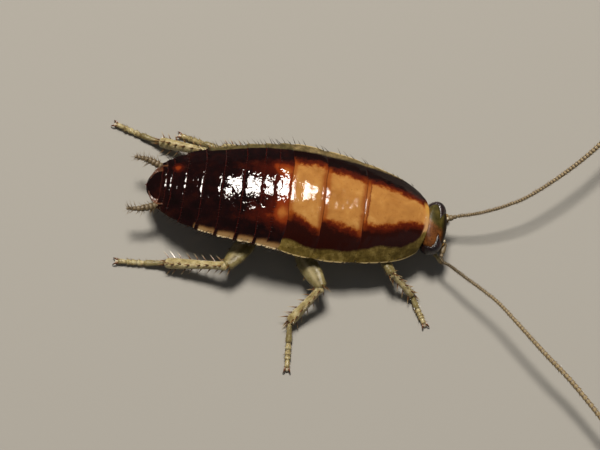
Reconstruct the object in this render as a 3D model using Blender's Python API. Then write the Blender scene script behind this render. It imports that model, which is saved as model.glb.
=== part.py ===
"""A young, wingless bush cockroach standing on its six feet, at life size.

The head points along +X, the back along +Z, and the soles lie at z = 0. Every size and place below is in
millimetres, measured from a point on the floor under the rear thorax. finish_node() turns each piece into
metres, and stand_on_origin() puts the middle of the whole animal's footprint over the origin.
"""

import math
import random

import bmesh
import bpy
from mathutils import Matrix, Vector

METRES = 0.001
GAP = 0.25               # between neighbouring pieces

# The outline of the body from above, and its back and belly from the side
HALF_WIDTH = ((-7.1, 1.2), (-6.5, 1.58), (-5.5, 2.02), (-4.4, 2.34), (-3.4, 2.54), (-1.8, 2.75), (0.0, 2.98),
              (1.5, 2.95), (3.0, 2.76), (4.2, 2.5), (5.0, 2.27), (5.5, 2.05), (5.9, 1.8), (6.15, 1.52),
              (6.3, 1.27))
MIDLINE = ((-4.0, 0.02), (-2.0, 0.09), (0.0, 0.09), (2.0, -0.03), (4.0, -0.1), (5.2, -0.1), (6.3, -0.12))
BACK = ((-7.8, 1.95), (-6.4, 2.35), (-4.0, 2.88), (-1.0, 3.17), (0.5, 3.2), (3.0, 3.1), (5.0, 2.78),
        (6.3, 2.36))
BELLY = ((-7.8, 1.75), (-6.5, 1.42), (-4.5, 1.16), (-2.5, 1.34), (-0.6, 1.66))
RIM_DROP = ((-7.8, 0.2), (-1.0, 0.25), (0.2, 0.32), (2.0, 0.37), (4.0, 0.42), (5.4, 0.5))    # per half width
ARCH_POWER = 2.2         # how flat the back is before it falls to the rim

# The three plates of the thorax
PLATE_THICK = 0.55
PLATE_EDGE = 0.2
PRONOTUM = (3.43, 6.3)
MESONOTUM = (1.37, 3.18)
METANOTUM = (-0.5, 1.12)
PLATE_CORNER = 0.3       # how far the hind corners of a plate reach behind its middle
CORNER_POWER = 5         # how near the rim that corner starts
NECK_FALL = 0.14         # how far the pronotum's front edge falls back towards its sides
NECK_POWER = 3
TRUNK = (-0.42, 5.9)
TRUNK_SHARE = 0.72       # its half width over the body's
TRUNK_SIDE = 0.22        # height of its upright side
STERNUM = 1.52

# The abdomen: the hind edge of each back plate, from the first to the ninth, then the tail plate
TERGITE_ENDS = (-1.24, -1.95, -2.9, -3.94, -4.92, -5.8, -6.5, -6.8, -7.05)
ABDOMEN_FRONT = -0.76
TERGITE_STEP = 0.1       # how far each back plate stands out over the next
TERGITE_CORNER = 0.16
TERGITE_SIDES = 28
TAIL_PLATE_END = -7.8
TAIL_PLATE_HALF_WIDTH = 0.58
TAIL_PLATE_INSET = 0.04
TAIL_PLATE_SHAPE = ((0.02, 1.0), (0.5, 0.98), (0.8, 0.78), (0.95, 0.45), (1.0, 0.2))     # place along, width

# The head hangs down from the neck, its face forward. Places on it are given for a head that isn't turned.
HEAD_TURN = math.radians(-2)
NECK = Vector((6.2, -0.24, 2.0))
HEAD_TOP = Vector((7.1, 0, 2.2))
MOUTH = Vector((6.46, 0, 0.5))
HEAD_HALF_WIDTH = 1.25
HEAD_HALF_DEPTH = 0.64
HEAD_SHAPE = ((0.0, 0.5, 0.4), (0.06, 0.8, 0.7), (0.18, 0.97, 0.95), (0.36, 1.0, 1.06), (0.54, 0.93, 1.04),
              (0.7, 0.76, 0.9), (0.84, 0.6, 0.7), (0.94, 0.52, 0.56), (1.0, 0.36, 0.4))  # place, width, depth
EYE_DOWN = 0.7           # the middle of the eye, below the top of the head and ahead of its middle line
EYE_AHEAD = 0.05
EYE_HEIGHT = 1.12
EYE_LENGTH = 0.94
EYE_SEAT = 0.84          # distance of the eye's flat back from the middle of the head
EYE_OUT = 1.36
EYE_RINGS = (0.0, 0.35, 0.65, 0.88, 0.985)

# The mouth parts, measured from the mouth. LIP: up along the head, ahead and half width. JAW: up and aside.
# PALP_ROOT: up, ahead and aside. PALP_ROUTE: along X, aside and along Z from the palp's root.
LIP = ((0.62, 0.3, 0.34), (0.3, 0.36, 0.42), (0.06, 0.24, 0.34), (-0.04, 0.18, 0.22))
LIP_HALF_DEPTH = 0.2
JAW = ((0.3, 0.3), (0.0, 0.26), (-0.14, 0.08))
JAW_RADII = (0.25, 0.2, 0.08)
PALP_ROOT = (0.42, 0.1, 0.74)
PALP_ROUTE = ((0.3, 0.32, -0.02), (0.72, 0.52, -0.2), (0.98, 0.6, -0.5))
PALP_STEPS = 9
PALP_RADIUS = 0.2
PALP_SWELL = 0.03        # how much each of its three joints swells
PALP_TAPER = 0.05

# The feelers: each route starts at its socket, a place on the straight head's face
SOCKET = (7.44, 0.74, 1.42)
FEELER_BASE_RADII = (0.2, 0.28, 0.3, 0.28, 0.27, 0.27, 0.24)
FEELER_ROOT = 0.5
FEELER_TIP = 0.26
FEELER_WAIST = 0.9
FEELERS = {
    "R": ((7.5, -1.78, 1.4), (8.0, -2.12, 1.54), (8.66, -2.59, 1.7), (10.41, -3.79, 2.0), (11.66, -4.94, 2.1),
          (13.13, -6.29, 2.1), (14.55, -7.51, 2.0), (16.35, -9.37, 1.9), (17.9, -11.3, 1.75)),
    "L": ((8.15, 0.6, 1.6), (8.66, 0.7, 1.7), (9.5, 0.95, 1.84), (10.5, 1.38, 1.97), (11.6, 2.02, 2.1),
          (13.2, 3.4, 2.2), (14.7, 5.0, 2.2), (16.0, 6.8, 2.1), (17.0, 8.7, 1.95), (17.6, 10.6, 1.75)),
}
FEELER_SPLIT = 6

# The tail feelers: places measured from their roots beside the tail plate
CERCUS_ASIDE = 0.44
CERCUS_ROUTE = ((-0.55, 0.3, 0.02), (-1.35, 0.42, 0.02))
CERCUS_STEPS = 12
CERCUS_RADIUS = 0.2
CERCUS_SWELL = 0.07
CERCUS_SWELL_END = 0.6   # share of its length
CERCUS_TAPER = 0.13
CERCUS_WAIST = 0.88
CERCUS_FLATNESS = 0.8

# The joints of each leg from the body outwards: coxa root, coxa end, knee, ankle, claws
LEGS = {
    "fore_R": ((5.0, -0.85), (4.3, -1.5, 0.98), (5.1, -2.85, 1.35), (6.28, -3.5, 0.36), (7.05, -4.85, 0.2)),
    "mid_R": ((1.35, -0.9), (0.15, -1.95, 1.0), (1.68, -4.1, 1.5), (0.33, -5.75, 0.38), (0.48, -8.09, 0.2)),
    "hind_R": ((-0.05, -0.85), (-1.95, -1.4, 0.92), (-3.15, -3.6, 1.4), (-6.3, -3.55, 0.4),
               (-8.7, -3.7, 0.2)),
    "fore_L": ((4.7, 0.55), (3.6, 0.95, 0.95), (4.0, 2.3, 1.25), (5.3, 1.9, 0.36), (6.6, 1.36, 0.2)),
    "mid_L": ((1.35, 0.95), (0.35, 1.75, 0.98), (-1.85, 2.85, 1.38), (-4.3, 3.05, 0.38), (-6.5, 3.55, 0.2)),
    "hind_L": ((-0.05, 0.9), (-2.1, 1.3, 0.92), (-4.35, 2.35, 1.3), (-7.55, 2.95, 0.4), (-9.9, 3.7, 0.2)),
}
# For each pair: femur depth and width, tibia depth and width, number of tibia spines
LEG_SIZES = {
    "fore": (0.9, 0.56, 0.52, 0.5, 6),
    "mid": (1.08, 0.58, 0.6, 0.52, 9),
    "hind": (1.16, 0.6, 0.62, 0.52, 12),
}
COXA_WIDTH = 1.05
COXA_THICK = 0.58
TARSUS_WIDTH = 0.5
TARSUS_DEPTH = 0.6
TARSUS_REST = 0.155      # height of the foot's middle line over the floor, low enough to flatten its sole
CLAW_CLEARANCE = 0.03
MITRE_LIMIT = math.radians(40)
KNEE_RADIUS = 0.28
SPINE_SIDES = 5
SPINE_ROOT = 0.2
SPINE_SUNK = 0.2
SPINE_CLEARANCE = 0.14   # between a thorn's tip and the floor
SPINE_SEAT_DEPTH = 0.05  # how far a thorn's root lies inside the tibia's widest outline
TIBIA_SPINES = (0.16, 0.94)              # places of the first and the last thorn along the tibia
TIBIA_SPINE_LENGTHS = (0.39, 0.59)       # near the knee and near the foot
TIBIA_SPINE_LEANS = (0.75, 0.95)
TIBIA_SPINE_DEPTH = 0.9                  # the tibia's depth where they stand, over its full depth
FEMUR_SPINES = (0.42, 0.58, 0.74)
FEMUR_SPINE_LENGTH = 0.36
FEMUR_SPINE_LEAN = 0.7
FEMUR_SPINE_SEAT = 0.38                  # distance of their roots from the femur's middle, over its depth

# The lengths of the legs from the body outwards: place along the length, depth, width
COXA_SHAPE = ((0.0, 0.95, 0.9), (0.22, 1.0, 1.0), (0.5, 0.98, 1.0), (0.8, 0.76, 0.95), (1.0, 0.6, 0.9))
FEMUR_SHAPE = ((0.0, 0.5, 0.86), (0.1, 0.62, 0.92), (0.3, 0.95, 1.0), (0.5, 1.0, 1.0), (0.72, 0.86, 0.96),
               (0.9, 0.62, 0.92), (1.0, 0.55, 0.9))
TIBIA_SHAPE = ((0.0, 0.84, 0.94), (0.12, 0.78, 0.9), (0.45, 0.88, 0.96), (0.88, 1.0, 1.0), (1.0, 0.94, 1.0))

# The feet: where their five joints end, the place along and the size of each joint, and the claws, whose
# places are along, across and up from the foot's end
TARSUS_JOINTS = (0.46, 0.6, 0.72, 0.82, 1.0)
TARSUS_SWELL = ((0.12, 0.82), (0.6, 0.95), (0.95, 1.08))
TARSUS_SLOPE = (0.42, 1.5)               # the foot comes down over this share of its length, in this curve
CLAW = ((-0.1, 0.0, 0.0), (0.16, 0.14, 0.0), (0.34, 0.24, -0.12))
CLAW_RADII = (0.17, 0.16, 0.13, 0.1, 0.05)


def curve(stations, x):
    """The value at x of a smooth line through the (x, value) stations, held level past both ends."""
    if x <= stations[0][0]:
        return stations[0][1]
    if x >= stations[-1][0]:
        return stations[-1][1]
    i = max(k for k in range(len(stations) - 1) if stations[k][0] <= x)
    slopes = []
    for k in (i, i + 1):
        low, high = stations[max(k - 1, 0)], stations[min(k + 1, len(stations) - 1)]
        slopes.append((high[1] - low[1]) / (high[0] - low[0]))
    (x0, y0), (x1, y1) = stations[i], stations[i + 1]
    span = x1 - x0
    t = (x - x0) / span
    return ((2 * t**3 - 3 * t**2 + 1) * y0 + (t**3 - 2 * t**2 + t) * span * slopes[0]
            + (3 * t**2 - 2 * t**3) * y1 + (t**3 - t**2) * span * slopes[1])


def smooth_route(points, steps):
    """Points evenly spread along a Catmull-Rom line through the route's own points."""
    points = [Vector(p) for p in points]
    ends = [2 * points[0] - points[1], *points, 2 * points[-1] - points[-2]]
    route = []
    for step in range(steps + 1):
        place = step / steps * (len(points) - 1)
        i = min(int(place), len(points) - 2)
        t = place - i
        a, b, c, d = ends[i:i + 4]
        route.append(0.5 * (2 * b + (c - a) * t + (2 * a - 5 * b + 4 * c - d) * t**2
                            + (3 * b - a - 3 * c + d) * t**3))
    return route


def loft(rings):
    """A closed skin over rings that all have the same number of points, with a flat cap at each end."""
    mesh = bmesh.new()
    made = [[mesh.verts.new(p) for p in ring] for ring in rings]
    for low, high in zip(made, made[1:]):
        for i in range(len(low)):
            j = (i + 1) % len(low)
            mesh.faces.new((low[i], low[j], high[j], high[i]))
    mesh.faces.new(reversed(made[0]))
    mesh.faces.new(made[-1])
    bmesh.ops.recalc_face_normals(mesh, faces=mesh.faces)
    return mesh


def ellipse(centre, deep, across, sides):
    """One ring: deep and across are its two half axes."""
    turns = [2 * math.pi * (i + 0.5) / sides for i in range(sides)]
    return [centre + deep * math.cos(a) + across * math.sin(a) for a in turns]


def slide_to_plane(ring, axis, point, normal):
    """The ring's points moved along axis until they lie on the plane."""
    return [p + axis * ((point - p).dot(normal) / axis.dot(normal)) for p in ring]


def tube_rings(route, sizes, depth, width, sides):
    """Rings along the route, each depth high and width wide times its own size."""
    rings = []
    for i, point in enumerate(route):
        along = (route[min(i + 1, len(route) - 1)] - route[max(i - 1, 0)]).normalized()
        across = along.cross(Vector((0, 0, 1))).normalized()
        up = across.cross(along).normalized()
        rings.append(ellipse(point, up * sizes[i] * depth / 2, across * sizes[i] * width / 2, sides))
    return rings


def rest_on(rings, floor):
    """Presses what would reach below the floor flat onto it."""
    for ring in rings:
        for p in ring:
            p.z = max(p.z, floor)
    return rings


def tube(route, radii, sides, flatten=1.0):
    """A closed round tube along the route. flatten is its height over its width."""
    return loft(tube_rings(route, radii, 2 * flatten, 2, sides))


def material(name, colour, roughness):
    made = bpy.data.materials.new(name)
    made.use_nodes = True
    shader = made.node_tree.nodes["Principled BSDF"]
    shader.inputs["Base Color"].default_value = (*colour, 1)
    shader.inputs["Roughness"].default_value = roughness
    shader.inputs["Metallic"].default_value = 0
    return made


def new_object(name, mesh):
    data = bpy.data.meshes.new(name)
    mesh.to_mesh(data)
    mesh.free()
    made = bpy.data.objects.new(name, data)
    bpy.context.scene.collection.objects.link(made)
    return made


def keep_largest(mesh):
    """Deletes every closed surface of the mesh but the largest."""
    left, islands = set(mesh.verts), []
    while left:
        island, edge = set(), [left.pop()]
        while edge:
            vert = edge.pop()
            island.add(vert)
            near = {e.other_vert(vert) for e in vert.link_edges} & left
            left -= near
            edge.extend(near)
        islands.append(island)
    islands.sort(key=lambda verts: max(v.co.x for v in verts) - min(v.co.x for v in verts), reverse=True)
    for island in islands[1:]:
        bmesh.ops.delete(mesh, geom=list(island), context="VERTS")


def combine(name, body, others, operation):
    """One Boolean of body with every mesh in others, applied, and the helper objects removed."""
    base = new_object(name, body)
    group = bpy.data.collections.new(name + "_pieces")
    for i, other in enumerate(others):
        piece = new_object(f"{name}_piece_{i}", other)
        bpy.context.scene.collection.objects.unlink(piece)
        group.objects.link(piece)
    boolean = base.modifiers.new("join", "BOOLEAN")
    boolean.operation = operation
    boolean.operand_type = "COLLECTION"
    boolean.collection = group
    boolean.solver = "MANIFOLD"
    graph = bpy.context.evaluated_depsgraph_get()
    joined = bmesh.new()
    joined.from_mesh(base.evaluated_get(graph).to_mesh())
    for piece in [*group.objects, base]:
        bpy.data.objects.remove(piece)
    bpy.data.collections.remove(group)
    keep_largest(joined)
    return joined


def finish_node(name, mesh, origin, look):
    """Makes the node's object in metres, with its own origin at the place where it joins the body."""
    origin = Vector(origin)
    bmesh.ops.translate(mesh, vec=-origin, verts=mesh.verts)
    bmesh.ops.scale(mesh, vec=(METRES,) * 3, verts=mesh.verts)
    made = new_object(name, mesh)
    made.location = origin * METRES
    made.data.materials.append(look)
    made.data.shade_smooth()
    made.data.set_sharp_from_angle(angle=math.radians(35))
    return made


def back_height(x, share):
    """Height of the body's back at x, where share runs from 0 on the midline to 1 at the rim."""
    return curve(BACK, x) - curve(RIM_DROP, x) * curve(HALF_WIDTH, x) * abs(share)**ARCH_POWER


def plate_depth(share):
    return PLATE_EDGE + (PLATE_THICK - PLATE_EDGE) * (1 - abs(share)**3)


def slab(outline, top, bottom, rows, columns):
    """A closed plate. outline gives (x, y) for a place along 0..1 and across -1..1.

    top and bottom give the heights there.
    """
    mesh = bmesh.new()
    layers = []
    for height in (top, bottom):
        layer = []
        for i in range(rows + 1):
            row = []
            for j in range(columns + 1):
                across = math.sin(math.pi / 2 * (2 * j / columns - 1))
                x, y = outline(i / rows, across)
                row.append(mesh.verts.new((x, y, height(x, y, across))))
            layer.append(row)
        layers.append(layer)
    for layer in layers:
        for i in range(rows):
            for j in range(columns):
                mesh.faces.new((layer[i][j], layer[i + 1][j], layer[i + 1][j + 1], layer[i][j + 1]))
    rims = []
    for layer in layers:
        rims.append(layer[0] + [row[-1] for row in layer[1:]] + layer[-1][-2::-1]
                    + [row[0] for row in layer[-2:0:-1]])
    for i in range(len(rims[0])):
        j = (i + 1) % len(rims[0])
        mesh.faces.new((rims[0][i], rims[0][j], rims[1][j], rims[1][i]))
    bmesh.ops.recalc_face_normals(mesh, faces=mesh.faces)
    return mesh


def thorax_plate(name, span, fall, power, look, rows, columns):
    """One back plate of the thorax. fall is how far its front edge lies back at the sides."""
    rear, front = span

    def place_along(along, across):
        hind_edge = rear - PLATE_CORNER * abs(across)**CORNER_POWER
        front_edge = front - fall * abs(across)**power
        return hind_edge + (front_edge - hind_edge) * along

    def outline(along, across):
        x = place_along(along, across)
        return x, curve(MIDLINE, x) + across * curve(HALF_WIDTH, place_along(along, 1))

    def top(x, y, across):
        return back_height(x, across)

    def bottom(x, y, across):
        return back_height(x, across) - plate_depth(across)

    return finish_node(name, slab(outline, top, bottom, rows, columns), (rear, 0, curve(BACK, rear)), look)


def make_trunk(look):
    """The underside of the thorax, which carries the legs and the three back plates."""
    rear, front = TRUNK

    def outline(along, across):
        x = rear + (front - rear) * along
        return x, curve(MIDLINE, x) + across * TRUNK_SHARE * curve(HALF_WIDTH, x)

    def top(x, y, across):
        share = across * TRUNK_SHARE
        return back_height(x, share) - plate_depth(share) - GAP

    def bottom(x, y, across):
        side = back_height(x, TRUNK_SHARE) - plate_depth(TRUNK_SHARE) - GAP
        return STERNUM + (side - TRUNK_SIDE - STERNUM) * abs(across)**4

    return finish_node("thorax", slab(outline, top, bottom, 12, 10), (2.5, 0, STERNUM), look)


def abdomen_ring(x, inset, half_width, corner=0.0):
    """A lens-shaped section, shrunk by inset, whose sharp rims reach back by corner."""
    back, belly = curve(BACK, x) - inset, curve(BELLY, x) + 0.4 * inset
    width = half_width - inset
    rim = max(back - curve(RIM_DROP, x) * width, belly + 0.12)
    ring = []
    for i in range(TERGITE_SIDES):
        turn = 2 * math.pi * i / TERGITE_SIDES
        across, up = math.cos(turn), math.sin(turn)
        if up >= 0:
            z = rim + (back - rim) * (1 - abs(across)**ARCH_POWER)
        else:
            z = rim - (rim - belly) * (1 - abs(across)**3)
        ring.append(Vector((x - corner * abs(across)**CORNER_POWER, curve(MIDLINE, x) + width * across, z)))
    return ring


def make_abdomen(look):
    rings = [abdomen_ring(ABDOMEN_FRONT, TERGITE_STEP, curve(HALF_WIDTH, ABDOMEN_FRONT), PLATE_CORNER)]
    start = ABDOMEN_FRONT
    for end in TERGITE_ENDS:
        middle = (start + end) / 2
        rings.append(abdomen_ring(middle, TERGITE_STEP / 5, curve(HALF_WIDTH, middle)))
        rings.append(abdomen_ring(end, 0, curve(HALF_WIDTH, end), TERGITE_CORNER))
        rings.append(abdomen_ring(end - TERGITE_STEP / 2, TERGITE_STEP, curve(HALF_WIDTH, end)))
        start = end
    rings.pop()
    for share, width in TAIL_PLATE_SHAPE:
        x = start + (TAIL_PLATE_END - start) * share
        rings.append(abdomen_ring(x, TAIL_PLATE_INSET, TAIL_PLATE_HALF_WIDTH * width + TAIL_PLATE_INSET))
    return finish_node("abdomen", loft(rings), (ABDOMEN_FRONT, 0, 2.2), look)


def head_placing():
    """Takes a place on a straight head to where the insect holds it, turned to the side on its neck."""
    to_neck = Matrix.Translation((-NECK.x, 0, 0))
    return Matrix.Translation((NECK.x, NECK.y, 0)) @ Matrix.Rotation(HEAD_TURN, 4, "Z") @ to_neck


def finish_on_head(name, mesh, origin, look):
    placing = head_placing()
    bmesh.ops.transform(mesh, verts=mesh.verts, matrix=placing)
    return finish_node(name, mesh, placing @ Vector(origin), look)


def head_axes():
    """The head's own directions: down the face, across it to the left, and ahead out of it."""
    down = (MOUTH - HEAD_TOP).normalized()
    across = Vector((0, 1, 0))
    return down, across, down.cross(across).normalized()


def eye_mesh(side, grow):
    """A dome on the side of the head, flat at the back. grow swells it into the cutter for its seat."""
    down, across, ahead = head_axes()
    centre = HEAD_TOP + down * EYE_DOWN + ahead * EYE_AHEAD
    seat, out = EYE_SEAT - grow, EYE_OUT + grow
    rings = []
    for share in EYE_RINGS:
        size = math.sqrt(1 - share**2)
        middle = centre + across * side * (seat + (out - seat) * share)
        height, length = EYE_HEIGHT * size + 2 * grow, EYE_LENGTH * size + 2 * grow
        rings.append(ellipse(middle, down * height / 2, ahead * length / 2, 14))
    return loft(rings)


def from_mouth(up, forward, aside):
    """A place measured from the mouth along the head's own directions."""
    down, across, ahead = head_axes()
    return MOUTH - down * up + ahead * forward + across * aside


def make_head(looks):
    down, across, ahead = head_axes()
    length = (MOUTH - HEAD_TOP).length
    rings = []
    for share, width, depth in HEAD_SHAPE:
        middle = HEAD_TOP + down * length * share
        rings.append(ellipse(middle, ahead * HEAD_HALF_DEPTH * depth, across * HEAD_HALF_WIDTH * width, 20))
    head = combine("head", loft(rings), [eye_mesh(1, GAP), eye_mesh(-1, GAP)], "DIFFERENCE")
    lip = loft([ellipse(from_mouth(up, forward, 0), ahead * LIP_HALF_DEPTH, across * half_width, 10)
                for up, forward, half_width in LIP])
    jaws = [tube([from_mouth(up, 0, side * aside) for up, aside in JAW], JAW_RADII, 8) for side in (1, -1)]
    head = combine("head", head, [lip, *jaws], "UNION")
    finish_on_head("head", head, HEAD_TOP, looks["head"])
    for side, label in ((1, "L"), (-1, "R")):
        finish_on_head("eye_" + label, eye_mesh(side, 0), HEAD_TOP + across * side, looks["eye"])
        up, forward, aside = PALP_ROOT
        root = from_mouth(up, forward, side * aside)
        route = smooth_route((root, *[root + Vector((x, side * y, z)) for x, y, z in PALP_ROUTE]), PALP_STEPS)
        radii = [PALP_RADIUS + PALP_SWELL * math.cos(2 * math.pi * i / 3) - PALP_TAPER * (i / PALP_STEPS)**3
                 for i in range(PALP_STEPS + 1)]
        finish_on_head("palp_" + label, tube(route, radii, 8), root, looks["leg"])


def cut_back(route, gap):
    """The same number of points, evenly spread, on the route with its end cut back by the gap."""
    lengths = [0.0]
    for low, high in zip(route, route[1:]):
        lengths.append(lengths[-1] + (high - low).length)
    made = []
    for i in range(len(route)):
        place = (lengths[-1] - gap) * i / (len(route) - 1)
        k = min(max(j for j in range(len(route)) if lengths[j] <= place), len(route) - 2)
        made.append(route[k].lerp(route[k + 1], (place - lengths[k]) / (lengths[k + 1] - lengths[k])))
    return made


def make_feeler(side, label, look):
    """The stout base joint, then the whip in two lengths that meet end to end."""
    socket = head_placing() @ Vector((SOCKET[0] + GAP, SOCKET[1] * side, SOCKET[2]))
    points = [socket, *FEELERS[label]]
    base = cut_back(smooth_route(points[:3], 12)[:len(FEELER_BASE_RADII)], GAP)
    finish_node("antenna_base_" + label, tube(base, FEELER_BASE_RADII, 10), points[0], look)
    total = len(points) - 2
    for name, first, last in (("near", 1, FEELER_SPLIT), ("far", FEELER_SPLIT, len(points) - 1)):
        route = smooth_route(points, 4 * (len(points) - 1))[4 * first:4 * last + 1]
        if name == "near":
            route = cut_back(route, GAP)
        radii = []
        for i in range(len(route)):
            width = FEELER_ROOT + (FEELER_TIP - FEELER_ROOT) * (first - 1 + i / 4) / total
            radii.append(width / 2 * (1 if i % 2 else FEELER_WAIST))
        finish_node(f"antenna_{name}_{label}", tube(route, radii, 8), points[first], look)


def make_cercus(side, label, look):
    """A jointed, tapering tail feeler that leaves the ninth back plate beside the tail plate."""
    front = TERGITE_ENDS[-1] - GAP
    height = (curve(BACK, front) + curve(BELLY, front)) / 2
    root = Vector((front, side * (TAIL_PLATE_HALF_WIDTH + CERCUS_ASIDE), height))
    route = smooth_route((root, *[root + Vector((x, side * y, z)) for x, y, z in CERCUS_ROUTE]), CERCUS_STEPS)
    radii = []
    for i in range(CERCUS_STEPS + 1):
        share = i / CERCUS_STEPS
        swell = CERCUS_SWELL * math.sin(math.pi * min(1, share / CERCUS_SWELL_END))
        radii.append((CERCUS_RADIUS + swell - CERCUS_TAPER * share**2) * (1 if i % 2 else CERCUS_WAIST))
    finish_node("cercus_" + label, tube(route, radii, 8, CERCUS_FLATNESS), root, look)


def spine(root, direction, length, radius):
    """A thorn whose root is sunk below the surface that it stands on."""
    direction = direction.normalized()
    side = direction.orthogonal().normalized()
    low = root - direction * SPINE_SUNK
    foot = ellipse(low, side * radius, direction.cross(side) * radius, SPINE_SIDES)
    mesh = bmesh.new()
    ring = [mesh.verts.new(p) for p in foot]
    tip = mesh.verts.new(root + direction * length)
    for i in range(SPINE_SIDES):
        mesh.faces.new((ring[i], ring[(i + 1) % SPINE_SIDES], tip))
    mesh.faces.new(ring)
    bmesh.ops.recalc_face_normals(mesh, faces=mesh.faces)
    return mesh


def leg_axes(start, end, normal):
    """The direction of a leg length and the two across it: the leg bends in the plane of the first two."""
    axis = (end - start).normalized()
    across = (normal - axis * normal.dot(axis)).normalized()
    return axis, across.cross(axis).normalized(), across


def shaft(start, end, normal, sizes, shape, sides, cuts):
    """A straight leg length. cuts holds the plane (point, normal) that each end is trimmed to, or None."""
    axis, deep, across = leg_axes(start, end, normal)
    rings = []
    for share, depth, width in shape:
        centre = start.lerp(end, share)
        rings.append(ellipse(centre, deep * sizes[0] * depth / 2, across * sizes[1] * width / 2, sides))
    for i, cut in zip((0, -1), cuts):
        if cut:
            rings[i] = slide_to_plane(rings[i], axis, *cut)
    return loft(rings)


def mitre(before, joint, after):
    """The two trimming planes at a joint, half a gap to each side of it.

    Each plane leans towards the other length by half the bend. In a sharp bend it leans by MITRE_LIMIT, and
    both lengths are drawn back so that their inner sides stay apart.
    """
    inward, outward = (joint - before).normalized(), (after - joint).normalized()
    bend = inward.angle(outward)
    lean = min(bend / 2, MITRE_LIMIT)
    drawn = GAP / 2 + KNEE_RADIUS * math.tan(bend / 2 - lean)
    hinge = inward.cross(outward).normalized()
    return ((joint - inward * drawn, Matrix.Rotation(lean, 3, hinge) @ inward),
            (joint + outward * drawn, Matrix.Rotation(-lean, 3, hinge) @ outward))


def tibia_spines(start, end, normal, sizes, count, rng):
    """Thorns in three rows down the tibia, leaning towards the foot, longer and longer."""
    axis, deep, across = leg_axes(start, end, normal)
    made = []
    for i in range(count):
        share = i / (count - 1)
        row = (i % 3) * 2 * math.pi / 3 + math.pi / 2
        up, aside = deep * math.sin(row), across * math.cos(row)
        middle = start.lerp(end, TIBIA_SPINES[0] + (TIBIA_SPINES[1] - TIBIA_SPINES[0]) * share)
        surface = middle + up * sizes[0] / 2 + aside * sizes[1] / 2
        direction = (up + aside + axis * rng.uniform(*TIBIA_SPINE_LEANS)).normalized()
        length = TIBIA_SPINE_LENGTHS[0] + (TIBIA_SPINE_LENGTHS[1] - TIBIA_SPINE_LENGTHS[0]) * share
        if surface.z + direction.z * length < SPINE_CLEARANCE:
            direction.z = (SPINE_CLEARANCE - surface.z) / length
        made.append(spine(surface - (up + aside) * SPINE_SEAT_DEPTH, direction, length, SPINE_ROOT))
    return made


def make_tarsus(name, ankle, toe, previous, look):
    """Five foot joints along the floor, with flat soles, then two claws."""
    along = Vector((toe.x - ankle.x, toe.y - ankle.y, 0)).normalized()
    across = Vector((-along.y, along.x, 0))
    places, sizes = [], []
    start = 0.0
    for joint in TARSUS_JOINTS:
        for share, swell in TARSUS_SWELL:
            places.append(start + (joint - start) * share)
            sizes.append(swell)
        start = joint
    points = [Vector((ankle.x, ankle.y, 0)).lerp(Vector((toe.x, toe.y, 0)), place) for place in places]
    for point, place in zip(points, places):
        point.z = TARSUS_REST + (ankle.z - TARSUS_REST) * max(0, 1 - place / TARSUS_SLOPE[0])**TARSUS_SLOPE[1]
    start_cut = mitre(previous, ankle, points[1])[1]
    rings = tube_rings(points, sizes, TARSUS_DEPTH, TARSUS_WIDTH, 12)
    rings[0] = slide_to_plane(rings[0], (points[1] - points[0]).normalized(), *start_cut)
    rest_on(rings, 0)
    claws = []
    for side in (1, -1):
        claw = smooth_route([points[-1] + along * ahead + across * side * aside + Vector((0, 0, up))
                             for ahead, aside, up in CLAW], len(CLAW_RADII) - 1)
        claws.append(loft(rest_on(tube_rings(claw, CLAW_RADII, 2, 2, 6), CLAW_CLEARANCE)))
    finish_node(name, combine(name, loft(rings), claws, "UNION"), ankle, look)


def make_leg(label, look):
    """Coxa, femur, tibia and tarsus of one leg, trimmed at each joint so that they meet face to face."""
    rng = random.Random(label)
    femur_deep, femur_wide, tibia_deep, tibia_wide, count = LEG_SIZES[label.split("_")[0]]
    root_x, root_y = LEGS[label][0]
    trochanter, knee, ankle, toe = (Vector(p) for p in LEGS[label][1:])
    root = Vector((root_x, root_y, STERNUM - GAP - COXA_THICK / 2))
    bend = (knee - trochanter).cross(ankle - knee).normalized()

    flat = Vector((0, 0, 1))
    coxa_end, femur_start = mitre(root, trochanter, knee)
    coxa = shaft(root, trochanter, flat, (COXA_WIDTH, COXA_THICK), COXA_SHAPE, 12, (None, coxa_end))
    finish_node("coxa_" + label, coxa, root, look)

    femur_end, tibia_start = mitre(trochanter, knee, ankle)
    femur = shaft(trochanter, knee, bend, (femur_deep, femur_wide), FEMUR_SHAPE, 12, (femur_start, femur_end))
    axis, deep, _ = leg_axes(trochanter, knee, bend)
    inner = deep if deep.dot(ankle - knee) > 0 else -deep
    seat, direction = inner * femur_deep * FEMUR_SPINE_SEAT, inner + axis * FEMUR_SPINE_LEAN
    thorns = [spine(trochanter.lerp(knee, share) + seat, direction, FEMUR_SPINE_LENGTH, SPINE_ROOT)
              for share in FEMUR_SPINES]
    finish_node("femur_" + label, combine("femur", femur, thorns, "UNION"), trochanter, look)

    tibia_end, _ = mitre(knee, ankle, Vector((toe.x, toe.y, ankle.z)))
    tibia = shaft(knee, ankle, bend, (tibia_deep, tibia_wide), TIBIA_SHAPE, 10, (tibia_start, tibia_end))
    thorns = tibia_spines(knee, ankle, bend, (tibia_deep * TIBIA_SPINE_DEPTH, tibia_wide), count, rng)
    finish_node("tibia_" + label, combine("tibia", tibia, thorns, "UNION"), knee, look)
    make_tarsus("tarsus_" + label, ankle, toe, knee, look)


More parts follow.
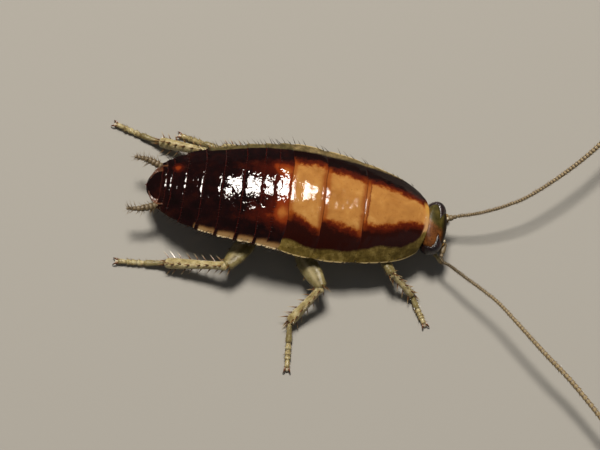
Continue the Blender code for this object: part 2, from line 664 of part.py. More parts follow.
def stand_on_origin():
    """Parents every node to one empty, moved so that the middle of the footprint is over the origin."""
    bpy.context.view_layer.update()
    corners = [made.matrix_world @ Vector(corner) for made in bpy.data.objects for corner in made.bound_box]
    shift = Vector((0, 0, 0))
    for axis in (0, 1):
        values = [corner[axis] for corner in corners]
        shift[axis] = -(min(values) + max(values)) / 2
    holder = bpy.data.objects.new("cockroach", None)
    bpy.context.scene.collection.objects.link(holder)
    holder.location = shift
    for made in bpy.data.objects:
        if made.type == "MESH":
            made.parent = holder


def main():
    for old in list(bpy.data.objects):
        bpy.data.objects.remove(old)
    looks = {
        "tan": material("tan_back_plate", (0.42, 0.2, 0.06), 0.25),
        "dark": material("dark_abdomen", (0.06, 0.016, 0.008), 0.2),
        "under": material("pale_underside", (0.32, 0.24, 0.1), 0.4),
        "head": material("olive_tan_head", (0.28, 0.15, 0.05), 0.3),
        "eye": material("black_eye", (0.012, 0.008, 0.008), 0.15),
        "leg": material("pale_leg", (0.45, 0.36, 0.2), 0.35),
        "feeler": material("brown_feeler", (0.2, 0.14, 0.09), 0.5),
    }
    thorax_plate("pronotum", PRONOTUM, NECK_FALL, NECK_POWER, looks["tan"], 10, 16)
    thorax_plate("mesonotum", MESONOTUM, PLATE_CORNER, CORNER_POWER, looks["tan"], 6, 16)
    thorax_plate("metanotum", METANOTUM, PLATE_CORNER, CORNER_POWER, looks["tan"], 6, 16)
    make_trunk(looks["under"])
    make_abdomen(looks["dark"])
    make_head(looks)
    for side, label in ((1, "L"), (-1, "R")):
        make_feeler(side, label, looks["feeler"])
        make_cercus(side, label, looks["feeler"])
    for label in LEGS:
        make_leg(label, looks["leg"])
    stand_on_origin()


main()
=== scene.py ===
import math
import random

import bpy
import numpy as np
from mathutils import Matrix, Vector, noise


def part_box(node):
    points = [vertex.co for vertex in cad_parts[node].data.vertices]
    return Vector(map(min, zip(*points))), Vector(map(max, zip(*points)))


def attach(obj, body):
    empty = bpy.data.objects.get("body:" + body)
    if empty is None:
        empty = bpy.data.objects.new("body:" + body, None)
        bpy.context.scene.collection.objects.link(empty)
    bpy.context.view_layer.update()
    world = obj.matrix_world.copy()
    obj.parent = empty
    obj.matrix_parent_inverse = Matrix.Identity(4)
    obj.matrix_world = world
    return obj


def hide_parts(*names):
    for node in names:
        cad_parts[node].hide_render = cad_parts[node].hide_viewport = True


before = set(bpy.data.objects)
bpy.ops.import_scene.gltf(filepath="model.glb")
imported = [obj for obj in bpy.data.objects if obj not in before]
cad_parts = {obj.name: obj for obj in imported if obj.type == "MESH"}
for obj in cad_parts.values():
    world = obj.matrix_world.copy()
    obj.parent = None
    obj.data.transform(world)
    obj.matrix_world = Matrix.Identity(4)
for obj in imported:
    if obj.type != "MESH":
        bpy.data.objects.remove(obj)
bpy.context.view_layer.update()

# A young, wingless bush cockroach, dressed over its solids. Places are in millimetres in the animal's own
# frame: +X ahead, +Y to its left, z = 0 on the floor. finishPiece() takes each piece to the frame in metres.
millimetre = 0.001
trunkRear = -0.42
bodyShift = Vector((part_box("thorax")[0].x - trunkRear * millimetre,
                    (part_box("cercus_R")[0].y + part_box("cercus_L")[1].y) / 2, 0))
upward = Vector((0, 0, 1))

bodyShape = {
    "halfWidth": ((-7.1, 1.2), (-6.5, 1.58), (-5.5, 2.02), (-4.4, 2.34), (-3.4, 2.54), (-1.8, 2.75),
                  (0.0, 2.98), (1.5, 2.95), (3.0, 2.76), (4.2, 2.5), (5.0, 2.27), (5.5, 2.05), (5.9, 1.8),
                  (6.15, 1.59), (6.32, 1.37), (6.45, 1.12)),
    "midline": ((-4.0, 0.02), (-2.0, 0.09), (0.0, 0.09), (2.0, -0.03), (4.0, -0.1), (5.2, -0.1),
                (6.3, -0.12)),
    "back": ((-7.8, 1.95), (-6.4, 2.35), (-4.0, 2.88), (-1.0, 3.17), (0.5, 3.2), (3.0, 3.1), (5.0, 2.78),
             (6.3, 2.36)),
    "belly": ((-7.8, 1.75), (-6.5, 1.42), (-4.5, 1.16), (-2.5, 1.34), (-0.6, 1.66)),
    "rimDrop": ((-7.8, 0.2), (-1.0, 0.25), (0.2, 0.32), (2.0, 0.37), (4.0, 0.42), (5.4, 0.5)),
    "archPower": 2.2,
}


def curve(stations, x):
    # the value at x of a smooth line through the (x, value) stations, level past both ends
    if x <= stations[0][0]:
        return stations[0][1]
    if x >= stations[-1][0]:
        return stations[-1][1]
    i = max(k for k in range(len(stations) - 1) if stations[k][0] <= x)
    slopes = []
    for k in (i, i + 1):
        low, high = stations[max(k - 1, 0)], stations[min(k + 1, len(stations) - 1)]
        slopes.append((high[1] - low[1]) / (high[0] - low[0]))
    (x0, y0), (x1, y1) = stations[i], stations[i + 1]
    span = x1 - x0
    t = (x - x0) / span
    return ((2 * t**3 - 3 * t**2 + 1) * y0 + (t**3 - 2 * t**2 + t) * span * slopes[0]
            + (3 * t**2 - 2 * t**3) * y1 + (t**3 - t**2) * span * slopes[1])


def smoothStep(low, high, value):
    t = min(1.0, max(0.0, (value - low) / (high - low)))
    return t * t * (3 - 2 * t)


def bell(distance, width):
    return math.exp(-(distance / width) ** 2)


def eased(share):
    # runs from 0 to 1 with a slow start and end, which draws a grid's rows together there
    return 0.5 - 0.5 * math.cos(math.pi * share)


def acrossShare(aside):
    # runs from -1 to 1, with a grid's columns drawn together at both ends
    return math.sin(math.pi / 2 * (2 * aside - 1))


def roundEnd(share):
    # how far a rounded end has opened, where share runs from 0 at its tip to 1 where it is full
    return math.sqrt(max(0.0, 1 - (1 - min(1, share)) ** 2))


def turnsApart(first, second):
    # how far apart two places around a tube are, where once around is 1
    return abs((first - second + 0.5) % 1 - 0.5)


def ripple(x, y, z):
    return noise.noise(Vector((x, y, z)))


def smoothRoute(points, steps):
    # points evenly spread along a Catmull-Rom line through the route's own points
    points = [Vector(p) for p in points]
    ends = [2 * points[0] - points[1], *points, 2 * points[-1] - points[-2]]
    route = []
    for step in range(steps + 1):
        place = step / steps * (len(points) - 1)
        i = min(int(place), len(points) - 2)
        t = place - i
        a, b, c, d = ends[i:i + 4]
        route.append(0.5 * (2 * b + (c - a) * t + (2 * a - 5 * b + 4 * c - d) * t**2
                            + (3 * b - a - 3 * c + d) * t**3))
    return route


def bodyAt(measure, x):
    return curve(bodyShape[measure], x)


def backHeight(x, share):
    # height of the back at x, where share runs from 0 on the midline to 1 at the rim
    drop = bodyAt("rimDrop", x) * bodyAt("halfWidth", x)
    return bodyAt("back", x) - drop * abs(share) ** bodyShape["archPower"]


# Modelling helpers

def pick(*pieces):
    # only these pieces are selected, and the first is active
    bpy.ops.object.select_all(action="DESELECT")
    for piece in pieces:
        piece.select_set(True)
    bpy.context.view_layer.objects.active = pieces[0]


def newGrid(name, rows, columns):
    # a flat grid from (0, 0) to (1, 1), ready to be bent into a plate or rolled into a tube
    bpy.ops.object.select_all(action="DESELECT")
    bpy.ops.mesh.primitive_grid_add(x_subdivisions=rows, y_subdivisions=columns, size=1,
                                    location=(0.5, 0.5, 0))
    bpy.ops.object.transform_apply(location=True, rotation=False, scale=False)
    piece = bpy.context.active_object
    piece.name = piece.data.name = name
    return piece


def shapeGrid(piece, place):
    for vert in piece.data.vertices:
        vert.co = place(min(1, max(0, vert.co.x)), min(1, max(0, vert.co.y)))
    piece.data.update()


def closeUp(piece, merge=0.0004, whole=True):
    # merges the seam and the poles. A whole form also has its ends filled and its faces turned outwards
    pick(piece)
    bpy.ops.object.mode_set(mode="EDIT")
    bpy.ops.mesh.select_all(action="SELECT")
    bpy.ops.mesh.remove_doubles(threshold=merge)
    if whole:
        bpy.ops.mesh.fill_holes(sides=0)
        bpy.ops.mesh.normals_make_consistent(inside=False)
    bpy.ops.object.mode_set(mode="OBJECT")


def thicken(piece, thickness):
    # gives a sheet its wall on the inner side, then rounds its edges
    wall = piece.modifiers.new("wall", "SOLIDIFY")
    wall.thickness = thickness
    wall.offset = -1
    wall.use_even_offset = False
    smooth = piece.modifiers.new("smooth", "SUBSURF")
    smooth.levels = smooth.render_levels = 1
    pick(piece)
    for modifier in list(piece.modifiers):
        bpy.ops.object.modifier_apply(modifier=modifier.name)


def tube(name, place, rows, columns, look):
    # a grid rolled up: place(along, around) gives each point
    piece = newGrid(name, rows, columns)
    shapeGrid(piece, place)
    closeUp(piece)
    piece.data.materials.append(look)
    return piece


def joinPieces(name, pieces):
    pick(*pieces)
    bpy.ops.object.join()
    pieces[0].name = pieces[0].data.name = name
    return pieces[0]


def setMark(mesh, name, numbers):
    # a number at every point of a mesh, which its finish reads
    mesh.attributes.new(name, "FLOAT", "POINT").data.foreach_set("value", numbers)


def mark(piece, name, value):
    setMark(piece.data, name, [value(vert.co) for vert in piece.data.vertices])


def finishPiece(piece, slotName, *nodes):
    pick(piece)
    piece.scale = (millimetre,) * 3
    piece.location = bodyShift
    bpy.ops.object.transform_apply(location=True, rotation=True, scale=True)
    bpy.ops.object.shade_smooth_by_angle(angle=math.radians(42))
    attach(piece, "root")
    if nodes:
        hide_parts(*nodes)


def copyAll(name, model, places, look):
    # joins one copy of the model for each place: root, direction, lean, length, thickness, spot on the skin
    # unwrap. Each copy's own patch of the bake map is bakePatch across, at its spot.
    base = np.array([vert.co for vert in model.data.vertices])
    faces = [tuple(face.vertices) for face in model.data.polygons]
    corners = np.array([i for face in faces for i in face])
    verts = np.empty((len(places), len(base), 3))
    for i, (root, direction, lean, length, thick, spot) in enumerate(places):
        direction = direction.normalized()
        side = (lean - direction * lean.dot(direction)).normalized()
        cross = direction.cross(side)
        verts[i] = base @ np.array([side * thick, cross * thick, direction * length]) + np.array(root)
    mesh = bpy.data.meshes.new(name)
    allFaces = [tuple(v + i * len(base) for v in face) for i in range(len(places)) for face in faces]
    mesh.from_pydata(verts.reshape(-1, 3).tolist(), [], allFaces)
    bakePatch = 0.003
    patch = np.stack([np.arctan2(base[:, 1], base[:, 0]) / (2 * math.pi), base[:, 2] - 0.5], axis=1)[corners]
    spots = np.array([p[5] for p in places])[:, None, :] + bakePatch * patch[None, :, :]
    mesh.uv_layers.new(name="OFBake").data.foreach_set("uv", spots.astype(np.float32).ravel())
    heights = np.tile(base[:, 2], len(places)).astype(np.float32)
    setMark(mesh, "upHair", heights)
    mesh.update()
    piece = bpy.data.objects.new(name, mesh)
    bpy.context.scene.collection.objects.link(piece)
    piece.data.materials.append(look)
    return piece


def modelCone(name, sides, cuts, curl, collar=0.0):
    # one hair or thorn, 1 long, its root radius 1, with a ring at each cut, curling towards +X
    bpy.ops.object.select_all(action="DESELECT")
    bpy.ops.mesh.primitive_cone_add(vertices=sides, radius1=1, radius2=0.04, depth=1, location=(0, 0, 0.5),
                                    end_fill_type="NGON")
    bpy.ops.object.transform_apply(location=True, rotation=False, scale=False)
    piece = bpy.context.active_object
    piece.name = name
    bpy.ops.object.mode_set(mode="EDIT")
    for cut in cuts:
        bpy.ops.mesh.select_all(action="SELECT")
        bpy.ops.mesh.bisect(plane_co=(0, 0, cut), plane_no=(0, 0, 1))
    bpy.ops.mesh.select_all(action="SELECT")
    bpy.ops.mesh.normals_make_consistent(inside=False)
    bpy.ops.object.mode_set(mode="OBJECT")
    for vert in piece.data.vertices:
        height = vert.co.z
        swell = (1 + 0.5 * height * (1 - height)) * (1 + collar * bell(height - 0.06, 0.06))
        vert.co.x *= swell
        vert.co.y *= swell
        vert.co.x += curl * height**2
    return piece


def outwardAt(place, along, around):
    # a point of a rolled-up grid with its outward normal
    point = Vector(place(along, around))
    step = 0.004
    ahead = Vector(place(min(1, along + step), around)) - Vector(place(max(0, along - step), around))
    aside = Vector(place(along, (around + step) % 1)) - Vector(place(along, (around - step) % 1))
    normal = ahead.cross(aside)
    if normal.length == 0:
        return point, upward.copy()
    normal.normalize()
    middle = (point + Vector(place(along, (around + 0.5) % 1))) / 2
    return point, normal if normal.dot(point - middle) > 0 else -normal


# Finishes

def paint(code):
    # a hex colour as the linear numbers that a shader takes
    channels = [int(code[i:i + 2], 16) / 255 for i in (0, 2, 4)]
    return (*[c / 12.92 if c <= 0.04045 else ((c + 0.055) / 1.055) ** 2.4 for c in channels], 1)


def newFinish(name, constants):
    finish = bpy.data.materials.new(name)
    finish.use_nodes = True
    tree = finish.node_tree
    shader = tree.nodes["Principled BSDF"]
    for socket, value in constants.items():
        shader.inputs[socket].default_value = value
    return finish, tree, shader


def addNode(tree, kind, inputs, **settings):
    node = tree.nodes.new(kind)
    for name, value in settings.items():
        setattr(node, name, value)
    for name, value in inputs.items():
        if isinstance(value, bpy.types.NodeSocket):
            tree.links.new(value, node.inputs[name])
        else:
            node.inputs[name].default_value = value
    return node


def animalPlace(tree, stretch=(1, 1, 1)):
    # the place on the animal in millimetres, in its own frame
    place = addNode(tree, "ShaderNodeTexCoord", {}).outputs["Object"]
    scale = [s / millimetre for s in stretch]
    shift = [-a * b for a, b in zip(bodyShift, scale)]
    settings = {"Vector": place, "Location": shift, "Scale": scale}
    return addNode(tree, "ShaderNodeMapping", settings).outputs["Vector"]


def sidePlace(tree, place):
    return addNode(tree, "ShaderNodeSeparateXYZ", {"Vector": place}).outputs["Y"]


def grain(tree, place, scale, detail=3, roughness=0.5, distortion=0.0):
    settings = {"Vector": place, "Scale": scale, "Detail": detail, "Roughness": roughness,
                "Distortion": distortion}
    return addNode(tree, "ShaderNodeTexNoise", settings).outputs["Fac"]


def marked(tree, name):
    return addNode(tree, "ShaderNodeAttribute", {}, attribute_name=name).outputs["Fac"]


def sums(tree, operation, first, second=0.0):
    return addNode(tree, "ShaderNodeMath", {0: first, 1: second}, operation=operation).outputs[0]


def centred(tree, value, amount):
    # a grain that runs evenly to both sides of zero
    return sums(tree, "MULTIPLY", sums(tree, "SUBTRACT", value, 0.5), amount)


def wandering(tree, border, drift, amount):
    # a mark whose border wanders with a grain
    return sums(tree, "ADD", border, sums(tree, "MULTIPLY", drift, amount))


def step(tree, value, low, high, outLow=0.0, outHigh=1.0):
    return addNode(tree, "ShaderNodeMapRange", {"Value": value, "From Min": low, "From Max": high,
                                                "To Min": outLow, "To Max": outHigh},
                   interpolation_type="SMOOTHSTEP").outputs["Result"]


def shades(tree, value, stops):
    node = addNode(tree, "ShaderNodeValToRGB", {"Fac": value})
    ramp = node.color_ramp
    ramp.elements[0].position, ramp.elements[0].color = stops[0][0], paint(stops[0][1])
    ramp.elements[1].position, ramp.elements[1].color = stops[-1][0], paint(stops[-1][1])
    for position, code in stops[1:-1]:
        ramp.elements.new(position).color = paint(code)
    return node.outputs["Color"]


def mixed(tree, factor, first, second, how="MIX"):
    node = tree.nodes.new("ShaderNodeMix")
    node.data_type = "RGBA"
    node.blend_type = how
    for i, value in ((0, factor), (6, first), (7, second)):
        if isinstance(value, bpy.types.NodeSocket):
            tree.links.new(value, node.inputs[i])
        else:
            node.inputs[i].default_value = value
    return node.outputs[2]


def bumped(tree, shader, heights):
    # heights: value, height in millimetres. They are laid one over the other.
    normal = None
    for value, height in heights:
        inputs = {"Height": value, "Strength": 1.0, "Distance": height * millimetre}
        if normal:
            inputs["Normal"] = normal
        normal = addNode(tree, "ShaderNodeBump", inputs).outputs["Normal"]
    tree.links.new(normal, shader.inputs["Normal"])
    tree.links.new(normal, shader.inputs["Coat Normal"])


def colourOf(tree, shader, colour):
    tree.links.new(colour, shader.inputs["Base Color"])


def plateFinish():
    # tan panel, dark bands and pale see-through margins of the three thorax plates
    finish, tree, shader = newFinish("thorax_plate", {
        "Roughness": 0.4, "Specular IOR Level": 0.0, "Coat Roughness": 0.08, "Coat IOR": 1.4,
        "Subsurface Weight": 0.08, "Subsurface Radius": (0.4, 0.25, 0.12), "Subsurface Scale": 0.0003})
    place = animalPlace(tree)
    left = step(tree, sidePlace(tree, place), -0.5, 0.5)
    blotch = grain(tree, place, 2.2, 4, 0.6)
    fine = grain(tree, place, 12.0, 3, 0.6)
    wander = sums(tree, "ADD", centred(tree, blotch, 0.45), centred(tree, fine, 0.22))
    tan = shades(tree, grain(tree, place, 1.1, 5, 0.6, 0.4),
                 ((0.3, "94602a"), (0.45, "a8733a"), (0.58, "b27d40"), (0.72, "bf8e50")))
    speck = step(tree, grain(tree, place, 6.0, 3, 0.6), 0.58, 0.72)
    tan = mixed(tree, sums(tree, "MULTIPLY", speck, 0.4), tan, paint("85501f"))
    fingers = centred(tree, grain(tree, place, 4.5, 2, 0.5), 0.3)
    panel = sums(tree, "ADD", sums(tree, "ADD", marked(tree, "panel"), wander), fingers)
    dark = mixed(tree, left, paint("260a05"), paint("140706"))
    colour = mixed(tree, step(tree, panel, -0.45, -0.04), dark, paint("561a08"))
    colour = mixed(tree, step(tree, panel, -0.1, 0.07), colour, paint("8a4416"))
    colour = mixed(tree, step(tree, panel, 0.0, 0.19), colour, tan)
    within = step(tree, panel, -0.4, 0.05)
    seam = wandering(tree, marked(tree, "seam"), wander, 0.45)
    strip = sums(tree, "MULTIPLY", step(tree, seam, 0.34, 0.12), within)
    colour = mixed(tree, sums(tree, "MULTIPLY", strip, 0.7), colour, paint("8a4010"))
    fold = wandering(tree, marked(tree, "fold"), wander, 0.45)
    behindFold = sums(tree, "MULTIPLY", step(tree, fold, 0.3, 0.05), within)
    colour = mixed(tree, sums(tree, "MULTIPLY", behindFold, 0.75), colour, paint("803810"))
    crease = sums(tree, "ABSOLUTE", sums(tree, "SUBTRACT", seam, marked(tree, "creasePlace")))
    crease = sums(tree, "MULTIPLY", step(tree, crease, 0.05, 0.01), within)
    colour = mixed(tree, sums(tree, "MULTIPLY", crease, 0.75), colour, paint("5a1606"))
    edge = sums(tree, "MULTIPLY", step(tree, marked(tree, "seam"), 0.06, 0.015),
                sums(tree, "ADD", sums(tree, "MULTIPLY", within, 0.65), 0.25))
    colour = mixed(tree, edge, colour, paint("3a0808"))
    collar = wandering(tree, marked(tree, "collar"), wander, 0.4)
    clearOfLeft = step(tree, sidePlace(tree, place), 0.95, 0.6)
    collar = sums(tree, "MULTIPLY", step(tree, collar, 0.24, 0.12), clearOfLeft)
    colour = mixed(tree, collar, colour, mixed(tree, left, paint("b88c60"), paint("b4853e")))
    mottle = grain(tree, place, 2.6, 4, 0.6)
    paleRight = shades(tree, mottle, ((0.3, "433616"), (0.5, "625226"), (0.68, "84723e")))
    paleLeft = shades(tree, mottle, ((0.3, "54482c"), (0.5, "706040"), (0.68, "9a875c")))
    pale = mixed(tree, left, paleRight, paleLeft)
    pale = mixed(tree, step(tree, grain(tree, place, 15.0, 2), 0.6, 0.72), pale, paint("3c2c12"))
    margin = wandering(tree, marked(tree, "margin"), wander, 0.35)
    colour = mixed(tree, step(tree, margin, -0.08, 0.08), colour, pale)
    rim = marked(tree, "rim")
    outline = sums(tree, "MULTIPLY", step(tree, rim, 0.975, 0.992), step(tree, margin, -0.02, 0.1))
    colour = mixed(tree, outline, colour, paint("c0aa78"))
    colourOf(tree, shader, colour)
    tree.links.new(step(tree, rim, 0.55, 0.92, 0.85, 0.25), shader.inputs["Coat Weight"])
    bumped(tree, shader, ((grain(tree, place, 3.5, 3, 0.6), 0.012),
                          (grain(tree, place, 14.0, 3, 0.6), 0.002)))
    return finish


def abdomenFinish():
    # very dark red-brown, glossy, with warm patches behind the thorax and cream patches along the margins
    finish, tree, shader = newFinish("abdomen_plate", {
        "Roughness": 0.4, "Specular IOR Level": 0.0,
        "Coat Weight": 1.0, "Coat Roughness": 0.05, "Coat IOR": 1.4,
        "Subsurface Weight": 0.05, "Subsurface Radius": (0.5, 0.16, 0.08), "Subsurface Scale": 0.0003})
    place = animalPlace(tree)
    left = step(tree, sidePlace(tree, place), -0.5, 0.5)
    blotch = grain(tree, place, 1.8, 4, 0.6)
    patchy = sums(tree, "SUBTRACT", blotch, 0.5)
    base = shades(tree, blotch, ((0.3, "0d0403"), (0.5, "150505"), (0.7, "220905")))
    warm = wandering(tree, marked(tree, "warm"), patchy, 0.7)
    colour = mixed(tree, step(tree, warm, 0.08, 0.55), base, paint("421106"))
    colour = mixed(tree, step(tree, warm, 0.5, 0.8), colour, paint("7c2f0e"))
    colour = mixed(tree, step(tree, warm, 0.8, 1.3), colour, paint("a8642c"))
    seam = wandering(tree, marked(tree, "seam"), patchy, 0.1)
    colour = mixed(tree, sums(tree, "MULTIPLY", step(tree, seam, 0.06, 0.01), 0.6), colour, paint("52120a"))
    cream = wandering(tree, marked(tree, "cream"), patchy, 0.5)
    creamRight = shades(tree, cream, ((0.1, "4a2a18"), (0.5, "74522f"), (0.95, "94754c")))
    creamLeft = shades(tree, grain(tree, place, 4.0, 3), ((0.35, "3e361e"), (0.6, "625736")))
    rimTone = mixed(tree, left, paint("d6bf96"), paint("7a6c48"))
    creamTone = mixed(tree, left, creamRight, creamLeft)
    creamTone = mixed(tree, step(tree, marked(tree, "rim"), 0.965, 0.99), creamTone, rimTone)
    colour = mixed(tree, step(tree, cream, 0.05, 0.75), colour, creamTone)
    colourOf(tree, shader, colour)
    wrinkle = grain(tree, animalPlace(tree, (1.0, 0.8, 1.0)), 4.6, 1, 0.5, 0.6)
    bumped(tree, shader, ((wrinkle, 0.019), (grain(tree, place, 9.0, 1, 0.5), 0.003)))
    return finish


def underFinish():
    # soft pale underside with browner plates
    finish, tree, shader = newFinish("pale_underside", {
        "Roughness": 0.42, "Coat Weight": 0.3, "Coat Roughness": 0.2,
        "Subsurface Weight": 0.2, "Subsurface Radius": (0.6, 0.4, 0.2), "Subsurface Scale": 0.0004})
    place = animalPlace(tree)
    colour = shades(tree, grain(tree, place, 2.5, 5, 0.6),
                    ((0.3, "7c6432"), (0.5, "a08a50"), (0.7, "c4b07a")))
    colour = mixed(tree, step(tree, grain(tree, place, 11.0, 2), 0.6, 0.72), colour, paint("5c4020"))
    rust = shades(tree, grain(tree, place, 7.0, 3), ((0.35, "7a4518"), (0.5, "9a6230"), (0.65, "b98248")))
    colour = mixed(tree, marked(tree, "rust"), colour, rust)
    colourOf(tree, shader, colour)
    bumped(tree, shader, ((grain(tree, place, 8.0, 3, 0.6), 0.02), (grain(tree, place, 26.0, 2), 0.004)))
    return finish


def bellyFinish():
    # brown belly plates, darker along their hind edges
    finish, tree, shader = newFinish("belly_plate", {
        "Roughness": 0.3, "Coat Weight": 0.7, "Coat Roughness": 0.12,
        "Subsurface Weight": 0.1, "Subsurface Radius": (0.5, 0.2, 0.1), "Subsurface Scale": 0.0003})
    place = animalPlace(tree)
    colour = shades(tree, grain(tree, place, 2.2, 5, 0.6),
                    ((0.3, "3a1a0c"), (0.52, "5e3216"), (0.72, "7c4c22")))
    colour = mixed(tree, step(tree, marked(tree, "seam"), 0.12, 0.02), colour, paint("2a0d06"))
    colour = mixed(tree, step(tree, marked(tree, "cream"), 0.3, 0.9), colour, paint("a88450"))
    colourOf(tree, shader, colour)
    bumped(tree, shader, ((grain(tree, place, 7.0, 4, 0.6), 0.03), (grain(tree, place, 26.0, 2), 0.006)))
    return finish


def headFinish():
    # olive-tan crown, orange-brown towards the neck and the right side, dark brown along the brow
    finish, tree, shader = newFinish("olive_tan_head", {
        "Roughness": 0.45, "Specular IOR Level": 0.1, "Coat Weight": 0.15, "Coat Roughness": 0.2,
        "Subsurface Weight": 0.1, "Subsurface Radius": (0.5, 0.25, 0.1), "Subsurface Scale": 0.0003})
    place = animalPlace(tree)
    blotch = grain(tree, place, 2.6, 5, 0.6)
    olive = shades(tree, blotch, ((0.3, "302a0c"), (0.5, "463e18"), (0.7, "625428")))
    rust = shades(tree, blotch, ((0.3, "4a280e"), (0.5, "6a3e1c"), (0.7, "8c5828")))
    rust = mixed(tree, step(tree, grain(tree, place, 11.0, 3, 0.6), 0.52, 0.7), rust, paint("3e1e0c"))
    wander = centred(tree, blotch, 0.9)
    colour = mixed(tree, step(tree, sums(tree, "ADD", marked(tree, "rust"), wander), 0.1, 0.9), olive, rust)
    brow = wandering(tree, marked(tree, "brow"), wander, 0.5)
    colour = mixed(tree, step(tree, brow, 0.2, 1.1), colour, paint("1c1206"))
    colour = mixed(tree, step(tree, marked(tree, "mouth"), 0.3, 0.8), colour, paint("8a6832"))
    colourOf(tree, shader, colour)
    bumped(tree, shader, ((grain(tree, place, 9.0, 4, 0.6), 0.012), (grain(tree, place, 34.0, 2), 0.002)))
    return finish


def jawFinish():
    finish, tree, shader = newFinish("dark_jaw", {
        "Roughness": 0.22, "Coat Weight": 0.8, "Coat Roughness": 0.08})
    place = animalPlace(tree)
    colourOf(tree, shader, shades(tree, grain(tree, place, 6.0, 4), ((0.35, "2a0e06"), (0.65, "6a3414"))))
    bumped(tree, shader, ((grain(tree, place, 16.0, 3), 0.01),))
    return finish


def eyeFinish():
    # black-brown, with a net of facets
    finish, tree, shader = newFinish("black_eye", {
        "Roughness": 0.3, "Coat Weight": 0.5, "Coat Roughness": 0.12})
    place = animalPlace(tree)
    colourOf(tree, shader, shades(tree, grain(tree, place, 3.0, 3), ((0.35, "0a0506"), (0.65, "2a0f10"))))
    facet = addNode(tree, "ShaderNodeTexVoronoi", {"Vector": place, "Scale": 24.0}).outputs["Distance"]
    bumped(tree, shader, ((step(tree, facet, 0.6, 0.0), 0.008),))
    return finish


def legFinish():
    # pale, see-through shell, browner at the joints and in small specks
    finish, tree, shader = newFinish("pale_leg", {
        "Roughness": 0.4, "Specular IOR Level": 0.2, "Coat Weight": 0.3, "Coat Roughness": 0.18,
        "Subsurface Weight": 0.25, "Subsurface Radius": (0.6, 0.45, 0.28), "Subsurface Scale": 0.0004})
    place = animalPlace(tree)
    blotch = grain(tree, place, 2.6, 5, 0.6)
    colour = shades(tree, blotch, ((0.3, "867348"), (0.5, "ae9f70"), (0.7, "d0c49c")))
    colour = mixed(tree, sums(tree, "MULTIPLY", marked(tree, "olive"), 0.8), colour,
                   shades(tree, blotch, ((0.3, "4c441c"), (0.7, "7c7040"))))
    colour = mixed(tree, sums(tree, "MULTIPLY", marked(tree, "joint"), 0.6), colour, paint("5e3814"))
    colour = mixed(tree, step(tree, grain(tree, place, 13.0, 2), 0.62, 0.72), colour, paint("60401e"))
    colour = mixed(tree, sums(tree, "MULTIPLY", marked(tree, "ridge"), 0.5), colour, paint("cfc19a"))
    colourOf(tree, shader, colour)
    bumped(tree, shader, ((grain(tree, place, 10.0, 4, 0.6), 0.02), (grain(tree, place, 34.0, 2), 0.005)))
    return finish


def padFinish():
    finish, tree, shader = newFinish("pale_foot_pad", {
        "Roughness": 0.5,
        "Subsurface Weight": 0.3, "Subsurface Radius": (0.5, 0.4, 0.3), "Subsurface Scale": 0.0002})
    place = animalPlace(tree)
    colourOf(tree, shader, shades(tree, grain(tree, place, 8.0, 3), ((0.35, "b8a888"), (0.65, "ddd2ba"))))
    bumped(tree, shader, ((grain(tree, place, 24.0, 3), 0.01),))
    return finish


def feelerFinish():
    # grey-brown beads, each dark at its root and pale towards its far end, with a darker tone on the feeler
    # bases and tail feelers and painted shade near the right whip's root
    finish, tree, shader = newFinish("beaded_feeler", {
        "Roughness": 0.5, "Coat Weight": 0.15, "Coat Roughness": 0.3})
    place = animalPlace(tree)
    bead = wandering(tree, marked(tree, "bead"), grain(tree, place, 6.0, 2), 0.2)
    colour = shades(tree, bead, ((0.12, "2c2013"), (0.4, "6a573c"), (0.85, "a8946c")))
    # a darker tone, and painted shade near the root of the right whip
    colour = mixed(tree, sums(tree, "MULTIPLY", marked(tree, "darkBaseAndShade"), 0.75), colour, paint("2e2714"))
    colourOf(tree, shader, colour)
    bumped(tree, shader, ((grain(tree, place, 26.0, 3), 0.012),))
    return finish


def thornFinish(name, low, high, tip):
    # a hair or thorn that changes its colour from root to tip
    finish, tree, shader = newFinish(name, {"Roughness": 0.28, "Coat Weight": 0.4, "Coat Roughness": 0.15})
    shade = wandering(tree, marked(tree, "upHair"), grain(tree, animalPlace(tree), 5.0, 2), 0.15)
    colourOf(tree, shader, shades(tree, shade, ((0.1, low), (0.5, high), (1.0, tip))))
    return finish


looks = {
    "plate": plateFinish(),
    "abdomen": abdomenFinish(),
    "under": underFinish(),
    "belly": bellyFinish(),
    "head": headFinish(),
    "jaw": jawFinish(),
    "eye": eyeFinish(),
    "leg": legFinish(),
    "pad": padFinish(),
    "feeler": feelerFinish(),
    "thorn": thornFinish("amber_thorn", "3a1c0a", "7a5226", "cdb98c"),
    "claw": thornFinish("claw", "8a6a3a", "6a3c18", "1e0c06"),
    "bristle": thornFinish("dark_bristle", "2a170b", "1c120a", "3c2c1a"),
    "hair": thornFinish("brown_hair", "4a3216", "6e5430", "9a8458"),
}
print("finishes ready")

# Floor, light and camera
stageSet = {
    "floorSize": 1.2, "floorColour": "a19e97", "worldColour": "e6e8ea", "worldStrength": 0.09,
    "lights": (  # direction from the animal, distance, size in metres, watts, colour
        ("key", (-0.14, 0.4, 0.92), 0.3, 0.074, 1.1, "fff8ee"),
        ("fill", (0.7, -0.8, 0.5), 0.6, 0.6, 0.14, "f2f5ff"),
        ("rim", (-0.1, 0.95, 0.2), 0.6, 0.5, 0.03, "ffffff"),
    ),
    "turn": math.radians(7.5), "tilt": math.radians(20), "lens": 120, "sensor": 36, "distance": 0.1,
    "backTop": 0.0032, "lookBelow": 0.0015, "clipStart": 0.001,
}
bpy.ops.object.select_all(action="DESELECT")
bpy.ops.mesh.primitive_plane_add(size=stageSet["floorSize"], location=(0, 0, 0))
floor = bpy.context.active_object
floor.name = "floor"
floor.data.materials.append(newFinish("pale_floor", {"Roughness": 0.8,
                                                     "Base Color": paint(stageSet["floorColour"])})[0])

